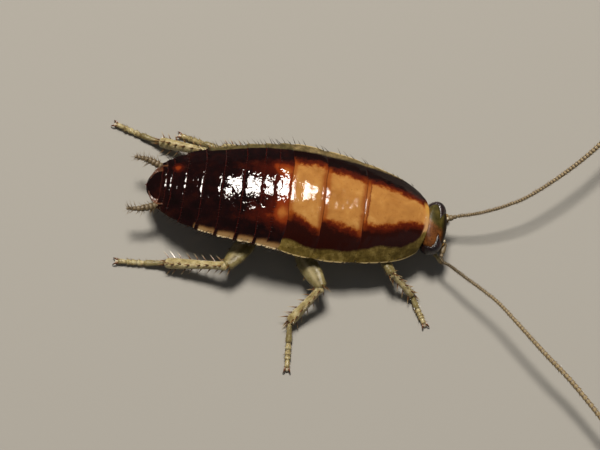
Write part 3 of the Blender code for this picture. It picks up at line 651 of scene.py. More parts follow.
world = bpy.data.worlds.new("studio")
world.use_nodes = True
world.node_tree.nodes["Background"].inputs["Color"].default_value = paint(stageSet["worldColour"])
world.node_tree.nodes["Background"].inputs["Strength"].default_value = stageSet["worldStrength"]
bpy.context.scene.world = world
for name, direction, distance, size, watts, colour in stageSet["lights"]:
    bpy.ops.object.light_add(type="AREA", location=Vector(direction).normalized() * distance)
    light = bpy.context.active_object
    light.name = name
    light.data.size = size
    light.data.energy = watts
    light.data.color = paint(colour)[:3]
    light.rotation_euler = Vector(direction).to_track_quat("Z", "Y").to_euler()

# The camera stands over the back, tipped towards the animal's right side and turned a little
turn, tilt = stageSet["turn"], stageSet["tilt"]
ahead = Vector((1, 0, 0))
across = Vector((0, math.cos(tilt), math.sin(tilt)))
right = ahead * math.cos(turn) + across * math.sin(turn)
up = across * math.cos(turn) - ahead * math.sin(turn)
backwards = right.cross(up)
target = bodyShift + upward * stageSet["backTop"] - up * stageSet["lookBelow"]
bpy.ops.object.camera_add()
camera = bpy.context.active_object
camera.data.lens = stageSet["lens"]
camera.data.sensor_width = stageSet["sensor"]
camera.data.clip_start = stageSet["clipStart"]
camera.matrix_world = (Matrix.Translation(target + backwards * stageSet["distance"])
                       @ Matrix((right, up, backwards)).transposed().to_4x4())
bpy.context.scene.camera = camera
bpy.context.scene.view_settings.view_transform = "Standard"
print("floor, lights and camera ready")

# The markings, as lines along the back: each is the place across, in millimetres, at a place along
markings = {
    "tanLeft": {
        "metanotum": ((-0.6, 1.86), (-0.2, 1.78), (0.8, 1.84), (1.2, 1.74)),
        "mesonotum": ((1.3, 1.58), (2.1, 1.52), (3.0, 1.38), (3.3, 1.3)),
        "pronotum": ((3.3, 1.2), (3.9, 1.22), (4.7, 1.08), (5.5, 0.96), (5.9, 0.86), (6.3, 0.68)),
    },
    "tanRight": {
        "metanotum": ((-0.5, -1.02), (-0.1, -1.05), (0.4, -1.2), (0.8, -1.45), (1.2, -1.52)),
        "mesonotum": ((1.3, -1.0), (1.66, -1.13), (2.44, -1.27), (3.2, -1.42)),
        "pronotum": ((3.3, -0.95), (3.9, -1.0), (4.7, -0.83), (5.4, -0.55), (6.0, -0.38), (6.4, -0.4)),
    },
    "darkLeft": ((-0.6, 2.6), (-0.3, 2.64), (0.7, 2.62), (1.75, 2.54), (2.8, 2.44), (3.8, 2.32), (4.9, 2.16),
                 (5.6, 2.0), (6.1, 1.8), (6.4, 1.7)),
    "darkRight": ((-0.8, -2.24), (-0.1, -2.26), (0.3, -2.4), (0.8, -2.5), (1.8, -2.42), (2.6, -2.4),
                  (3.4, -2.2), (3.8, -2.07), (4.3, -1.88), (5.35, -1.72), (5.87, -1.4), (6.19, -1.1),
                  (6.42, -0.72)),
    # along, across, size and strength of each warm patch
    "warmSpots": ((-1.3, 1.5, 0.3, 0.45), (-0.85, 1.2, 0.35, 0.45), (-0.8, -1.0, 0.36, 0.5),
                  (-1.5, -1.2, 0.26, 0.2), (-6.3, 0.95, 0.26, 0.85)),
}

# Back plates of the thorax
nowhere = 9.0  # farther than any point of a plate is from its edges
thoraxPlates = {
    "pronotum": {"rear": 3.3, "front": 6.62, "cover": None,
                 "fall": 0.38, "power": 2.4, "rows": 56, "crease": 0.2},
    "mesonotum": {"rear": 1.24, "front": 3.62, "cover": 3.3,
                  "fall": 0.3, "power": 5, "rows": 44, "crease": nowhere},
    "metanotum": {"rear": -0.5, "front": 1.56, "cover": 1.24,
                  "fall": 0.3, "power": 5, "rows": 40, "crease": nowhere},
}
plateEdges = {"corner": 0.3, "cornerPower": 5, "wall": 0.05, "bead": 0.02, "notch": 0.022, "columns": 60}
overlap = {  # how one back plate lies on the next: heights over the smooth back, and where
    "swell": 0.011, "swellPlace": 0.22, "swellWidth": 0.15, "lipDrop": 0.01, "lipWidth": 0.025,
    "tuck": 0.018, "tuckWidth": 0.05, "under": 0.07, "underWidth": 0.2, "wave": 0.05,
}


def hindEdge(rear, share, corner, power):
    # the place along the back of a plate's hind edge, which waves a little and reaches back at the sides
    share = max(-1, min(1, share))
    return rear - corner * abs(share) ** power + overlap["wave"] * ripple(share * 4, rear * 3, 5)


def plateEdge(rear, share):
    return hindEdge(rear, share, plateEdges["corner"], plateEdges["cornerPower"])


def shareAt(x, y):
    return (y - bodyAt("midline", x)) / bodyAt("halfWidth", x)


def overlapRelief(behind, covered):
    # behind: how far in front of its own hind edge a point is. covered: how far under the next plate's edge
    height = overlap["swell"] * bell(behind - overlap["swellPlace"], overlap["swellWidth"])
    height -= overlap["lipDrop"] * bell(behind, overlap["lipWidth"])
    height -= overlap["tuck"] * smoothStep(-overlap["tuckWidth"], 0, covered)
    return height - overlap["under"] * smoothStep(0, overlap["underWidth"], covered)


def skinGrain(x, y):
    # shallow dents and wrinkles that all plates of the back share
    return 0.03 * ripple(x * 1.1, y * 1.1, 2) + 0.012 * ripple(x * 3.2, y * 3.2, 7)


def plateRelief(x, y, share, rear, cover):
    # the low forms of a plate over the smooth back
    behind = x - plateEdge(rear, share)
    covered = -1 if cover is None else x - plateEdge(cover, share)
    height = overlapRelief(behind, covered) + skinGrain(x, y)
    height += plateEdges["bead"] * bell(1 - abs(share), 0.03) - 0.016 * bell(0.91 - abs(share), 0.04)
    return height - 0.01 * bell(y - bodyAt("midline", x), 0.035)


for name, plate in thoraxPlates.items():
    rear, front, cover = plate["rear"], plate["front"], plate["cover"]

    def placeOnPlate(along, aside):
        share = acrossShare(aside)
        low = plateEdge(rear, share)
        x = low + (front - plate["fall"] * abs(share) ** plate["power"] - low) * along
        rimX = rear - plateEdges["corner"] + (front - plate["fall"] - rear + plateEdges["corner"]) * along
        tucked = (cover is not None) * smoothStep(0.66, 0.9, along)
        notch = plateEdges["notch"] * (1 - smoothStep(0, 0.22, along) + tucked)
        y = bodyAt("midline", x) + share * bodyAt("halfWidth", rimX) * (1 - notch)
        return Vector((x, y, backHeight(x, share) + plateRelief(x, y, share, rear, cover)))

    shell = newGrid(name + "Plate", plate["rows"], plateEdges["columns"])
    shapeGrid(shell, placeOnPlate)
    thicken(shell, plateEdges["wall"])
    tanLeft, tanRight = markings["tanLeft"][name], markings["tanRight"][name]
    mark(shell, "panel", lambda p: min(p.y - curve(tanRight, p.x), curve(tanLeft, p.x) - p.y))
    mark(shell, "margin", lambda p: max(p.y - curve(markings["darkLeft"], p.x),
                                        curve(markings["darkRight"], p.x) - p.y))
    mark(shell, "seam", lambda p: p.x - plateEdge(rear, shareAt(p.x, p.y)))
    mark(shell, "creasePlace", lambda p: plate["crease"] + 0.06 * shareAt(p.x, p.y))
    mark(shell, "fold", lambda p: nowhere if cover is None else plateEdge(cover, shareAt(p.x, p.y)) - p.x)
    mark(shell, "rim", lambda p: abs(shareAt(p.x, p.y)))
    mark(shell, "collar", lambda p: nowhere if cover else
         front - plate["fall"] * min(1, abs(shareAt(p.x, p.y))) ** plate["power"] - p.x)
    shell.data.materials.append(looks["plate"])
    finishPiece(shell, "back_plate", name)
print("thorax plates ready")

# Abdomen: nine back plates that overlap like shingles, belly plates, the tail plate and the skin between them
abdomen = {
    "ends": (-1.24, -1.95, -2.9, -3.94, -4.92, -5.8, -6.5, -6.8, -7.05),
    "bellyEnds": (-1.9, -2.85, -3.85, -4.85, -5.75, -6.5, -7.0),
    "start": -0.5, "corner": 0.16, "cornerPower": 5, "wall": 0.045, "under": 0.34, "cover": 0.3,
    "rows": 16, "columns": 60, "serrate": 0.06, "tail": (-6.9, -7.8, 0.84), "inset": 0.16,
    "wallSpan": (-0.3, -7.45), "bellyStart": -0.9, "bellyColumns": 40, "bellyWall": 0.07, "lobeWall": 0.06,
}


def rimHeight(x):
    return max(backHeight(x, 1), bodyAt("belly", x) + 0.12)


def placeOnRing(start, end, along, share):
    # a point on one back plate of the abdomen, between its covered front and its free hind edge
    front = start + abdomen["under"]
    corner = abdomen["corner"] if start < abdomen["start"] else abdomen["cover"]
    low = hindEdge(end, share, abdomen["corner"], abdomen["cornerPower"])
    cover = hindEdge(start, share, corner, abdomen["cornerPower"])
    x = low + (front - low) * along
    free = smoothStep(0, 1, (start - x) / (start - end))
    width = bodyAt("halfWidth", x) + abdomen["serrate"] * (free - 0.6)
    y = bodyAt("midline", x) + share * width
    z = max(backHeight(x, share), bodyAt("belly", x) + 0.16 + 0.1 * (1 - share ** 2))
    z += overlapRelief(x - low, x - cover) + skinGrain(x, y)
    return Vector((x, y, z - 0.008 * bell(y - bodyAt("midline", x), 0.05)))


def creamAt(point, start, end):
    # pale sides: an unbroken band in front on the left, and a patch on each plate on the right, of which the
    # first two are joined
    share = shareAt(point.x, point.y)
    span = (start - point.x) / (start - end)
    if share > 0:
        inner = 0.88 - 0.04 * smoothStep(-2.2, -0.6, point.x)
        return smoothStep(inner, inner + 0.05, share) * smoothStep(-5.2, -4.2, point.x)
    hind = smoothStep(1.0, 0.84, span) if end < -1.5 else 1.0
    fore = smoothStep(-0.12, 0.16, span) if start < -1.5 else 1.0
    return smoothStep(0.79 + 0.06 * span, 0.97, -share) * hind * fore * smoothStep(-5.2, -5.0, point.x)


def warmAt(point):
    # warmer behind the thorax, and in a few patches
    spots = sum(amount * bell(math.hypot(point.x - x, point.y - y), size)
                for x, y, size, amount in markings["warmSpots"])
    return (0.42 * smoothStep(-4.5, -0.7, point.x) * smoothStep(2.3, 1.2, abs(point.y))
            + 0.3 * smoothStep(-1.3, -0.7, point.x) * smoothStep(2.0, 1.4, abs(point.y)) + spots)


rings = []
start = abdomen["start"]
for i, end in enumerate(abdomen["ends"]):
    ring = newGrid(f"ring{i}", abdomen["rows"], abdomen["columns"])
    shapeGrid(ring, lambda along, aside: placeOnRing(start, end, along, acrossShare(aside)))
    thicken(ring, abdomen["wall"])
    mark(ring, "seam", lambda p: p.x - hindEdge(end, shareAt(p.x, p.y), abdomen["corner"],
                                                abdomen["cornerPower"]))
    mark(ring, "cream", lambda p: creamAt(p, start, end))
    mark(ring, "rim", lambda p: abs(shareAt(p.x, p.y)))
    mark(ring, "warm", warmAt)
    ring.data.materials.append(looks["abdomen"])
    rings.append(ring)
    start = end

tailFront, tailEnd, tailWidth = abdomen["tail"]
# name, lift, width, 1 for the upper lobe or -1 for the lower one, finish
tailLobes = (("tailPlate", 0.0, 1.0, 1, "abdomen"), ("genitalPlate", -0.36, 1.3, -1, "belly"))
for name, lift, scale, flip, look in tailLobes:
    lobe = newGrid(name, 24, 30)

    def placeOnLobe(along, aside):
        share = acrossShare(aside)
        reach = math.sin(math.pi / 2 * along)
        x = tailFront + 0.1 + (tailEnd * (0.985 if flip < 0 else 1) - tailFront - 0.1) * reach
        width = tailWidth * scale * math.sqrt(max(0.0, 1 - reach ** 2.6))
        y = bodyAt("midline", x) - flip * share * width
        z = bodyAt("back", x) + lift - flip * 0.2 * share ** 2 * (1 - 0.5 * reach) - 0.06 * (flip > 0)
        z -= flip * 0.1 * reach ** 3 + 0.02 * bell(share, 0.12) * (flip > 0)
        return Vector((x, y, z + skinGrain(x, y)))

    shapeGrid(lobe, placeOnLobe)
    closeUp(lobe, whole=False)
    thicken(lobe, abdomen["lobeWall"])
    mark(lobe, "seam", lambda p: p.x - tailEnd)
    mark(lobe, "rim", lambda p: 0.0)
    mark(lobe, "cream", lambda p: 0.0)
    mark(lobe, "warm", lambda p: 0.1)
    lobe.data.materials.append(looks[look])
    rings.append(lobe)
finishPiece(joinPieces("abdomenPlates", rings), "abdomen", "abdomen")


def bellyHeight(x, share):
    rim, belly = rimHeight(x) - 0.1, bodyAt("belly", x)
    return rim - (rim - belly) * (1 - abs(share) ** 3)


plates = []
start = abdomen["bellyStart"]
for i, end in enumerate(abdomen["bellyEnds"]):
    plate = newGrid(f"belly{i}", abdomen["rows"], abdomen["bellyColumns"])

    def placeOnBelly(along, aside):
        share = -acrossShare(aside)
        x = end + (start + 0.35 - end) * along + 0.12 * (1 - share ** 2) * (1 - along)
        y = bodyAt("midline", x) + 0.95 * share * bodyAt("halfWidth", x)
        z = bellyHeight(x, share) - 0.03 * bell(x - end, 0.14)
        z += 0.1 * smoothStep(start - 0.2, start + 0.02, x)
        return Vector((x, y, z + 0.02 * ripple(x * 2, y * 2, 8)))

    shapeGrid(plate, placeOnBelly)
    thicken(plate, abdomen["bellyWall"])
    mark(plate, "seam", lambda p: p.x - end - 0.12 * (1 - min(1, abs(shareAt(p.x, p.y))) ** 2))
    mark(plate, "cream", lambda p: smoothStep(0.7, 0.95, abs(shareAt(p.x, p.y))))
    plate.data.materials.append(looks["belly"])
    plates.append(plate)
    start = end
finishPiece(joinPieces("bellyPlates", plates), "underside")


def placeInAbdomen(along, around):
    # the soft wall inside the plates, which shows between them at the sides
    wallFront, wallRear = abdomen["wallSpan"]
    x = wallFront + (wallRear - wallFront) * math.sin(math.pi / 2 * along)
    turn = 2 * math.pi * around
    aside, lift = math.cos(turn), math.sin(turn)
    inset = abdomen["inset"]
    close = math.sqrt(max(0.0, 1 - along ** 6))
    width = (bodyAt("halfWidth", x) - inset) * (0.2 + 0.8 * close)
    top, low = bodyAt("back", x) - inset, bodyAt("belly", x) + inset
    rim = min(max(rimHeight(x) - 0.12, low + 0.06), top - 0.05)
    if lift >= 0:
        z = rim + (top - rim) * (1 - abs(aside) ** 2.2)
    else:
        z = rim - (rim - low) * (1 - abs(aside) ** 3)
    return Vector((x, bodyAt("midline", x) + width * aside, z))


innerWall = tube("abdomenWall", placeInAbdomen, 60, 48, looks["under"])
finishPiece(innerWall, "underside")
print("abdomen ready")

# Underside of the thorax and the neck
chest = {"front": 6.05, "rear": -0.75, "share": 0.86, "clear": 0.17, "sternum": 1.5,
         "rows": 70, "columns": 64, "neck": (5.5, 6.95), "neckFolds": 4}


def placeOnChest(along, around):
    x = chest["rear"] + (chest["front"] - chest["rear"]) * eased(along)
    turn = 2 * math.pi * around
    aside, lift = math.cos(turn), math.sin(turn)
    close = math.sqrt(max(0.0, 1 - (2 * along - 1) ** 12))
    share = aside * chest["share"]
    rim = backHeight(x, chest["share"]) - chest["clear"] - 0.12
    y = bodyAt("midline", x) + share * bodyAt("halfWidth", x) * (0.55 + 0.45 * close)
    if lift >= 0:
        z = rim + (backHeight(x, share) - chest["clear"] - 0.04 - rim) * (1 - abs(aside) ** 4) * close
    else:
        low = chest["sternum"] - 0.06 * bell(y + 0.1, 0.3) + 0.05 * math.cos(x * 3.4)
        z = rim - (rim - low) * (1 - abs(aside) ** 5) * close
    return Vector((x, y, z + 0.015 * ripple(x * 3, y * 3, 1)))


def placeOnNeck(along, around):
    low, high = chest["neck"]
    x = low + (high - low) * along
    turn = 2 * math.pi * around
    fold = 1 + 0.03 * math.cos(2 * math.pi * chest["neckFolds"] * along)
    close = math.sqrt(max(0.0, 1 - (2 * along - 1) ** 8))
    wide, deep = (1.02 - 0.2 * along) * fold * close, 0.44 * fold * close
    return Vector((x, -0.25 + wide * math.cos(turn), 1.86 - 0.04 * along + deep * math.sin(turn)))


chestSkin = tube("chestSkin", placeOnChest, chest["rows"], chest["columns"], looks["under"])
neckSkin = tube("neckSkin", placeOnNeck, 36, 36, looks["under"])
mark(chestSkin, "rust", lambda p: 0.0)
mark(neckSkin, "rust", lambda p: smoothStep(1.6, 2.0, p.z))
finishPiece(joinPieces("thoraxSkin", [chestSkin, neckSkin]), "underside", "thorax")
print("underside ready")

# Head, in its straight place, then turned a little on the neck
head = {
    "turn": math.radians(-2), "neck": Vector((6.2, -0.24, 2.0)), "top": Vector((7.1, 0, 2.2)),
    "mouth": Vector((6.46, 0, 0.5)), "halfWidth": 1.25, "halfDepth": 0.64,
    "widths": ((0.0, 0.62), (0.06, 0.86), (0.18, 0.985), (0.36, 1.0), (0.54, 0.93), (0.7, 0.78), (0.84, 0.63),
               (0.94, 0.52), (1.0, 0.42)),
    "depths": ((0.0, 0.6), (0.06, 0.8), (0.18, 0.98), (0.36, 1.06), (0.54, 1.02), (0.7, 0.88), (0.84, 0.7),
               (0.94, 0.56), (1.0, 0.42)),
    "socket": (7.5, 0.74, 1.42), "crown": 0.1, "chin": 0.94, "chinLength": 0.06,
}
# An eye lies on the skull between shares of the way down it, and between turns from its side to its face.
# Its upper end leans towards the face.
eyes = {"share": 0.365, "shareHalf": 0.35, "turn": math.radians(2), "turnHalf": math.radians(45),
        "lean": math.radians(20), "dome": 0.18, "sunk": 0.08}
headDown = (head["mouth"] - head["top"]).normalized()
headAcross = Vector((0, 1, 0))
headAhead = headDown.cross(headAcross).normalized()
headLength = (head["mouth"] - head["top"]).length
headPlacing = (Matrix.Translation((head["neck"].x, head["neck"].y, 0)) @ Matrix.Rotation(head["turn"], 4, "Z")
               @ Matrix.Translation((-head["neck"].x, 0, 0)))


def skullAt(share, turn):
    # the bare skull at a share of the way down, where turn runs from its left side to its face
    close = roundEnd(share / head["crown"])
    close *= math.sqrt(max(0.0, 1 - max(0, share - head["chin"]) / head["chinLength"]))
    wide = head["halfWidth"] * curve(head["widths"], share) * close
    deep = head["halfDepth"] * curve(head["depths"], share) * close
    aside = math.copysign(abs(math.cos(turn)) ** 0.9, math.cos(turn))
    return (head["top"] + headDown * headLength * share + headAcross * wide * aside
            + headAhead * deep * math.sin(turn))


def placeOnHead(along, around):
    share = eased(along)
    turn = 2 * math.pi * around
    forth = math.sin(turn)
    point = skullAt(share, turn)
    low = (share - eyes["share"]) / eyes["shareHalf"]
    ring = math.hypot(low, (math.asin(forth) - eyes["turn"] + eyes["lean"] * low) / eyes["turnHalf"])
    point += headAcross * math.copysign(0.04 * bell(ring - 1.12, 0.12), math.cos(turn))
    if forth > 0:
        y = point.y
        shield = smoothStep(0.42, 0.3, abs(y)) * smoothStep(0.6, 0.68, share) * smoothStep(0.9, 0.84, share)
        point += headAhead * (0.05 * shield - 0.03 * bell(share - 0.62, 0.015) * smoothStep(0.5, 0.3, abs(y)))
        point += headAhead * 0.04 * bell(share - 0.4, 0.14) * bell(y, 0.35)
        point -= headAhead * 0.02 * bell(abs(y) - 0.09 - share * 0.8, 0.03) * smoothStep(0.4, 0.2, share)
    point += headAhead * 0.012 * noise.noise(point * 3.5)
    return headPlacing @ point


headSkin = tube("skull", placeOnHead, 60, 64, looks["head"])
backToStraight = headPlacing.inverted()


def onHead(measure):
    return lambda p: measure(backToStraight @ p)


def browAt(p):
    # dark along the front of the face, seen from above, and round the feelers' sockets
    forward = (p - head["top"]).dot(headAhead)
    below = (p - head["top"]).dot(headDown)
    return smoothStep(0.1, 0.42, forward) * smoothStep(1.25, 0.85, below)


mark(headSkin, "rust", onHead(lambda p: smoothStep(0.28, -0.34, p.y + 0.3 * (p - head["top"]).dot(headAhead))
                              + 0.5 * smoothStep(-0.3, -0.55, (p - head["top"]).dot(headAhead))))
mark(headSkin, "brow", onHead(browAt))
mark(headSkin, "mouth", onHead(lambda p: smoothStep(1.05, 1.25, (p - head["top"]).dot(headDown))))


def limbPlace(start, end, deep, across, sizes, depths, widths, caps=(0.1, 0.1), ridges=(), bow=0.0):
    # the surface of one leg or palp joint. depths and widths are stations along it, caps its rounded ends as
    # a share of its length, ridges the places around it that stand out and by how much
    squareness = 0.94

    def place(along, around):
        share = eased(along)
        close = roundEnd(share / caps[0]) * roundEnd((1 - share) / caps[1])
        turn = 2 * math.pi * around
        up, side = math.cos(turn), math.sin(turn)
        up = math.copysign(abs(up) ** squareness, up)
        side = math.copysign(abs(side) ** squareness, side)
        swell = 1.0
        for spot, height in ridges:
            swell += height * bell(turnsApart(around, spot), 0.03) * math.sin(math.pi * share)
        deepHalf = sizes[0] / 2 * curve(depths, share) * close * swell
        wideHalf = sizes[1] / 2 * curve(widths, share) * close * swell
        return (start.lerp(end, share) + deep * (up * deepHalf + bow * math.sin(math.pi * share))
                + across * side * wideHalf)
    return place


flat = ((0.0, 1.0), (1.0, 1.0))
mouthParts = []


def headLimb(name, place, rows, columns, look):
    return tube(name, lambda along, around: headPlacing @ place(along, around), rows, columns, looks[look])


mouth = head["mouth"]
lipTop, lipEnd = mouth - headDown * 0.5 + headAhead * 0.26, mouth + headDown * 0.05 + headAhead * 0.2
lip = limbPlace(lipTop, lipEnd, headAhead, headAcross, (0.2, 0.84), flat, ((0, 0.9), (0.5, 1), (1, 0.75)),
                (0.3, 0.35))
mouthParts.append(headLimb("labrum", lip, 16, 24, "head"))
for side in (1, -1):
    jawRoot = mouth - headDown * 0.42 + headAcross * side * 0.46 + headAhead * 0.06
    jawEnd = mouth + headDown * 0.12 + headAcross * side * 0.05 + headAhead * 0.08
    jaw = limbPlace(jawRoot, jawEnd, headAhead, headAcross, (0.34, 0.3), ((0, 1), (0.6, 0.85), (1, 0.4)),
                    ((0, 1), (0.6, 0.9), (1, 0.4)), (0.3, 0.2))
    mouthParts.append(headLimb("mandible", jaw, 18, 18, "jaw"))
    lobeRoot = mouth - headDown * 0.5 + headAcross * side * 0.3 - headAhead * 0.22
    lobeEnd = mouth + headDown * 0.1 + headAcross * side * 0.12 - headAhead * 0.12
    innerJaw = limbPlace(lobeRoot, lobeEnd, headAhead, headAcross, (0.22, 0.24), flat,
                         ((0, 1), (0.7, 0.9), (1, 0.5)), (0.25, 0.3))
    mouthParts.append(headLimb("maxilla", innerJaw, 16, 16, "head"))
    collarPoint = Vector(head["socket"])
    collarPoint.y *= side
    bpy.ops.object.select_all(action="DESELECT")
    bpy.ops.mesh.primitive_torus_add(major_segments=28, minor_segments=10, major_radius=0.24,
                                     minor_radius=0.045)
    collar = bpy.context.active_object
    collar.name = "socketCollar"
    facing = (headAhead + headAcross * side * 0.55).normalized()
    collar.data.transform(headPlacing @ Matrix.Translation(collarPoint - headAhead * 0.05)
                          @ facing.to_track_quat("Z", "Y").to_matrix().to_4x4())
    collar.data.materials.append(looks["head"])
    mouthParts.append(collar)
    bpy.ops.object.select_all(action="DESELECT")
    bpy.ops.mesh.primitive_uv_sphere_add(segments=16, ring_count=10, radius=0.09)
    spotDome = bpy.context.active_object
    spotDome.name = "paleSpot"
    spotPoint = collarPoint - headDown * 0.3 - headAcross * side * 0.12 - headAhead * 0.05
    spotDome.data.transform(headPlacing @ Matrix.Translation(spotPoint) @ Matrix.Diagonal((0.6, 1, 1, 1)))
    spotDome.data.materials.append(looks["pad"])
    mouthParts.append(spotDome)
for part in mouthParts:
    mark(part, "rust", lambda p: 0.5)
    mark(part, "brow", lambda p: 0.0)
    mark(part, "mouth", lambda p: 0.6)
finishPiece(joinPieces("headSkin", [headSkin, *mouthParts]), "head", "head")

for side, label in ((1, "L"), (-1, "R")):
    def placeOnEye(along, around):
        # a low kidney-shaped dome that follows the side of the skull, with its back sunk in the skull
        reach, height = math.sin(math.pi * along), math.cos(math.pi * along)
        low, forth = reach * math.cos(2 * math.pi * around), reach * math.sin(2 * math.pi * around)
        kidney = 1 - 0.24 * bell(low - 0.15, 0.4) * max(0, forth)
        turn = eyes["turn"] + forth * kidney * eyes["turnHalf"] - eyes["lean"] * low
        seat = skullAt(eyes["share"] + low * eyes["shareHalf"], turn if side > 0 else math.pi - turn)
        facing = (seat - head["top"] - headDown * headLength * eyes["share"]).normalized()
        return headPlacing @ (seat + facing * height * (eyes["dome"] if height > 0 else eyes["sunk"]))

    eye = tube("compoundEye_" + label, placeOnEye, 40, 56, looks["eye"])
    finishPiece(eye, "eye", "eye_" + label)

palps = {
    "radius": 0.105, "ends": (0.0, 0.16, 0.42, 0.62, 1.0), "tipSwell": 1.15, "rows": 16, "columns": 18,
    "bends": ((0, 0, 0), (0.36, 0.34, -0.02), (0.74, 0.56, -0.18), (1.0, 0.66, -0.52)), "steps": 60,
    "innerBends": ((0, 0, 0), (0.02, 0.16, -0.16), (0.14, 0.26, -0.3), (0.34, 0.28, -0.38)),
    "innerWidth": 0.15, "innerRows": 12, "innerColumns": 14, "swell": ((0, 0.7), (0.7, 1), (1, 0.9)),
    "overhang": 0.03,
}


def palpJoint(name, start, end, sunk, width, caps, rows, columns):
    # one round joint from a point to the next, a little longer at both ends
    axis = (end - start).normalized()
    deep = axis.orthogonal().normalized()
    place = limbPlace(start - axis * sunk, end + axis * palps["overhang"], deep, axis.cross(deep),
                      (width, width), palps["swell"], palps["swell"], caps)
    return headLimb(name, place, rows, columns, "leg")


for side, label in ((1, "L"), (-1, "R")):
    root = mouth + headAcross * side * 0.6 - headDown * 0.42 + headAhead * 0.05
    route = smoothRoute([root + Vector((x, side * y, z)) for x, y, z in palps["bends"]], palps["steps"])
    joints = []
    for low, high in zip(palps["ends"], palps["ends"][1:]):
        start, end = route[round(low * palps["steps"])], route[round(high * palps["steps"])]
        radius = palps["radius"] * (palps["tipSwell"] if high == 1.0 else 1.0)
        joints.append(palpJoint("palpJoint", start, end, 0.04, 2 * radius, (0.15, 0.2), palps["rows"],
                                palps["columns"]))
    inner = mouth + headAcross * side * 0.22 - headDown * 0.3 - headAhead * 0.3
    innerRoute = [inner + Vector((x, side * y, z)) for x, y, z in palps["innerBends"]]
    for start, end in zip(innerRoute, innerRoute[1:]):
        joints.append(palpJoint("innerPalpJoint", start, end, 0.03, palps["innerWidth"], (0.2, 0.25),
                                palps["innerRows"], palps["innerColumns"]))
    for joint in joints:
        mark(joint, "olive", lambda p: 0.3)
        mark(joint, "joint", lambda p: 0.1)
        mark(joint, "ridge", lambda p: 0.0)
    finishPiece(joinPieces("palpSkin_" + label, joints), "leg", "palp_" + label)
print("head ready")

# Hair and thorn models, each one long and with a root radius of one
hairSunk = 0.012  # how deep the root of a hair lies in the skin
hairModel = modelCone("hairModel", 4, (0.4, 0.72), 2.2)
thornModel = modelCone("thornModel", 7, (0.03, 0.1, 0.3, 0.55, 0.8), 0.9, 0.5)
bristleModel = modelCone("bristleModel", 5, (0.2, 0.45, 0.7), 1.8, 0.3)

# Feelers: a stout first joint, a short second one, then a whip of many beads with a whorl of hairs on each
feelers = {
    "R": ((7.5, -1.78, 1.4), (8.0, -2.12, 1.54), (8.66, -2.59, 1.7), (10.41, -3.79, 2.0),
          (11.66, -4.94, 2.1), (13.13, -6.29, 2.1), (14.55, -7.51, 2.0), (16.35, -9.37, 1.9),
          (17.9, -11.3, 1.75)),
    "L": ((8.15, 0.6, 1.6), (8.66, 0.7, 1.7), (9.5, 0.95, 1.84), (10.5, 1.38, 1.97), (11.6, 2.02, 2.1),
          (13.2, 3.4, 2.2), (14.7, 5.0, 2.2), (16.0, 6.8, 2.1), (17.0, 8.7, 1.95), (17.6, 10.6, 1.75)),
    "radii": ((0.0, 0.072), (0.3, 0.09), (0.6, 0.125), (0.85, 0.12), (1.0, 0.08)), "waist": 0.24,
    "firstBead": 0.1, "lastBead": 0.3, "hairs": 7, "hairLength": 0.13, "hairThick": 0.011, "stop": 0.12,
    "rowsPerBead": 6, "columns": 14, "scapeSteps": {"L": 22, "R": 26},
    "baseSwell": ((0, 0.66), (0.2, 0.8), (0.65, 1), (1, 0.85)), "scapeRadius": 0.15, "pedicelRadius": 0.105,
}


def lengthsOf(route):
    lengths = [0.0]
    for low, high in zip(route, route[1:]):
        lengths.append(lengths[-1] + (high - low).length)
    return lengths


def pointAt(route, lengths, distance):
    # the point and direction at a distance along a route
    low, high = 0, len(route) - 2
    while low < high:
        middle = (low + high + 1) // 2
        if lengths[middle] <= distance:
            low = middle
        else:
            high = middle - 1
    span = route[low + 1] - route[low]
    return route[low] + span * ((distance - lengths[low]) / span.length), span.normalized()


def beadEnds(total, first, last):
    ends, at = [0.0], 0.0
    while at < total - last / 2:
        at += first + (last - first) * at / total
        ends.append(min(at, total))
    ends[-1] = total
    return ends


def whipPlace(route, lengths, ends, radii, waist):
    # a tube of beads, each narrow at its root
    def place(along, around):
        row = along * (len(ends) - 1)
        i = min(int(row), len(ends) - 2)
        within = row - i
        distance = ends[i] + (ends[i + 1] - ends[i]) * within
        centre, axis = pointAt(route, lengths, distance)
        side = axis.cross(upward).normalized()
        radius = curve(radii, distance / lengths[-1])
        pinch = 1 - smoothStep(0.0, 0.45, within)
        radius *= 1 - waist * pinch - waist * 0.8 * smoothStep(0.86, 1.0, within)
        radius *= math.sqrt(max(0.0, 1 - smoothStep(0.985, 1.0, along) ** 2))
        turn = 2 * math.pi * around
        return centre + side * radius * math.cos(turn) + side.cross(axis) * radius * math.sin(turn)
    return place


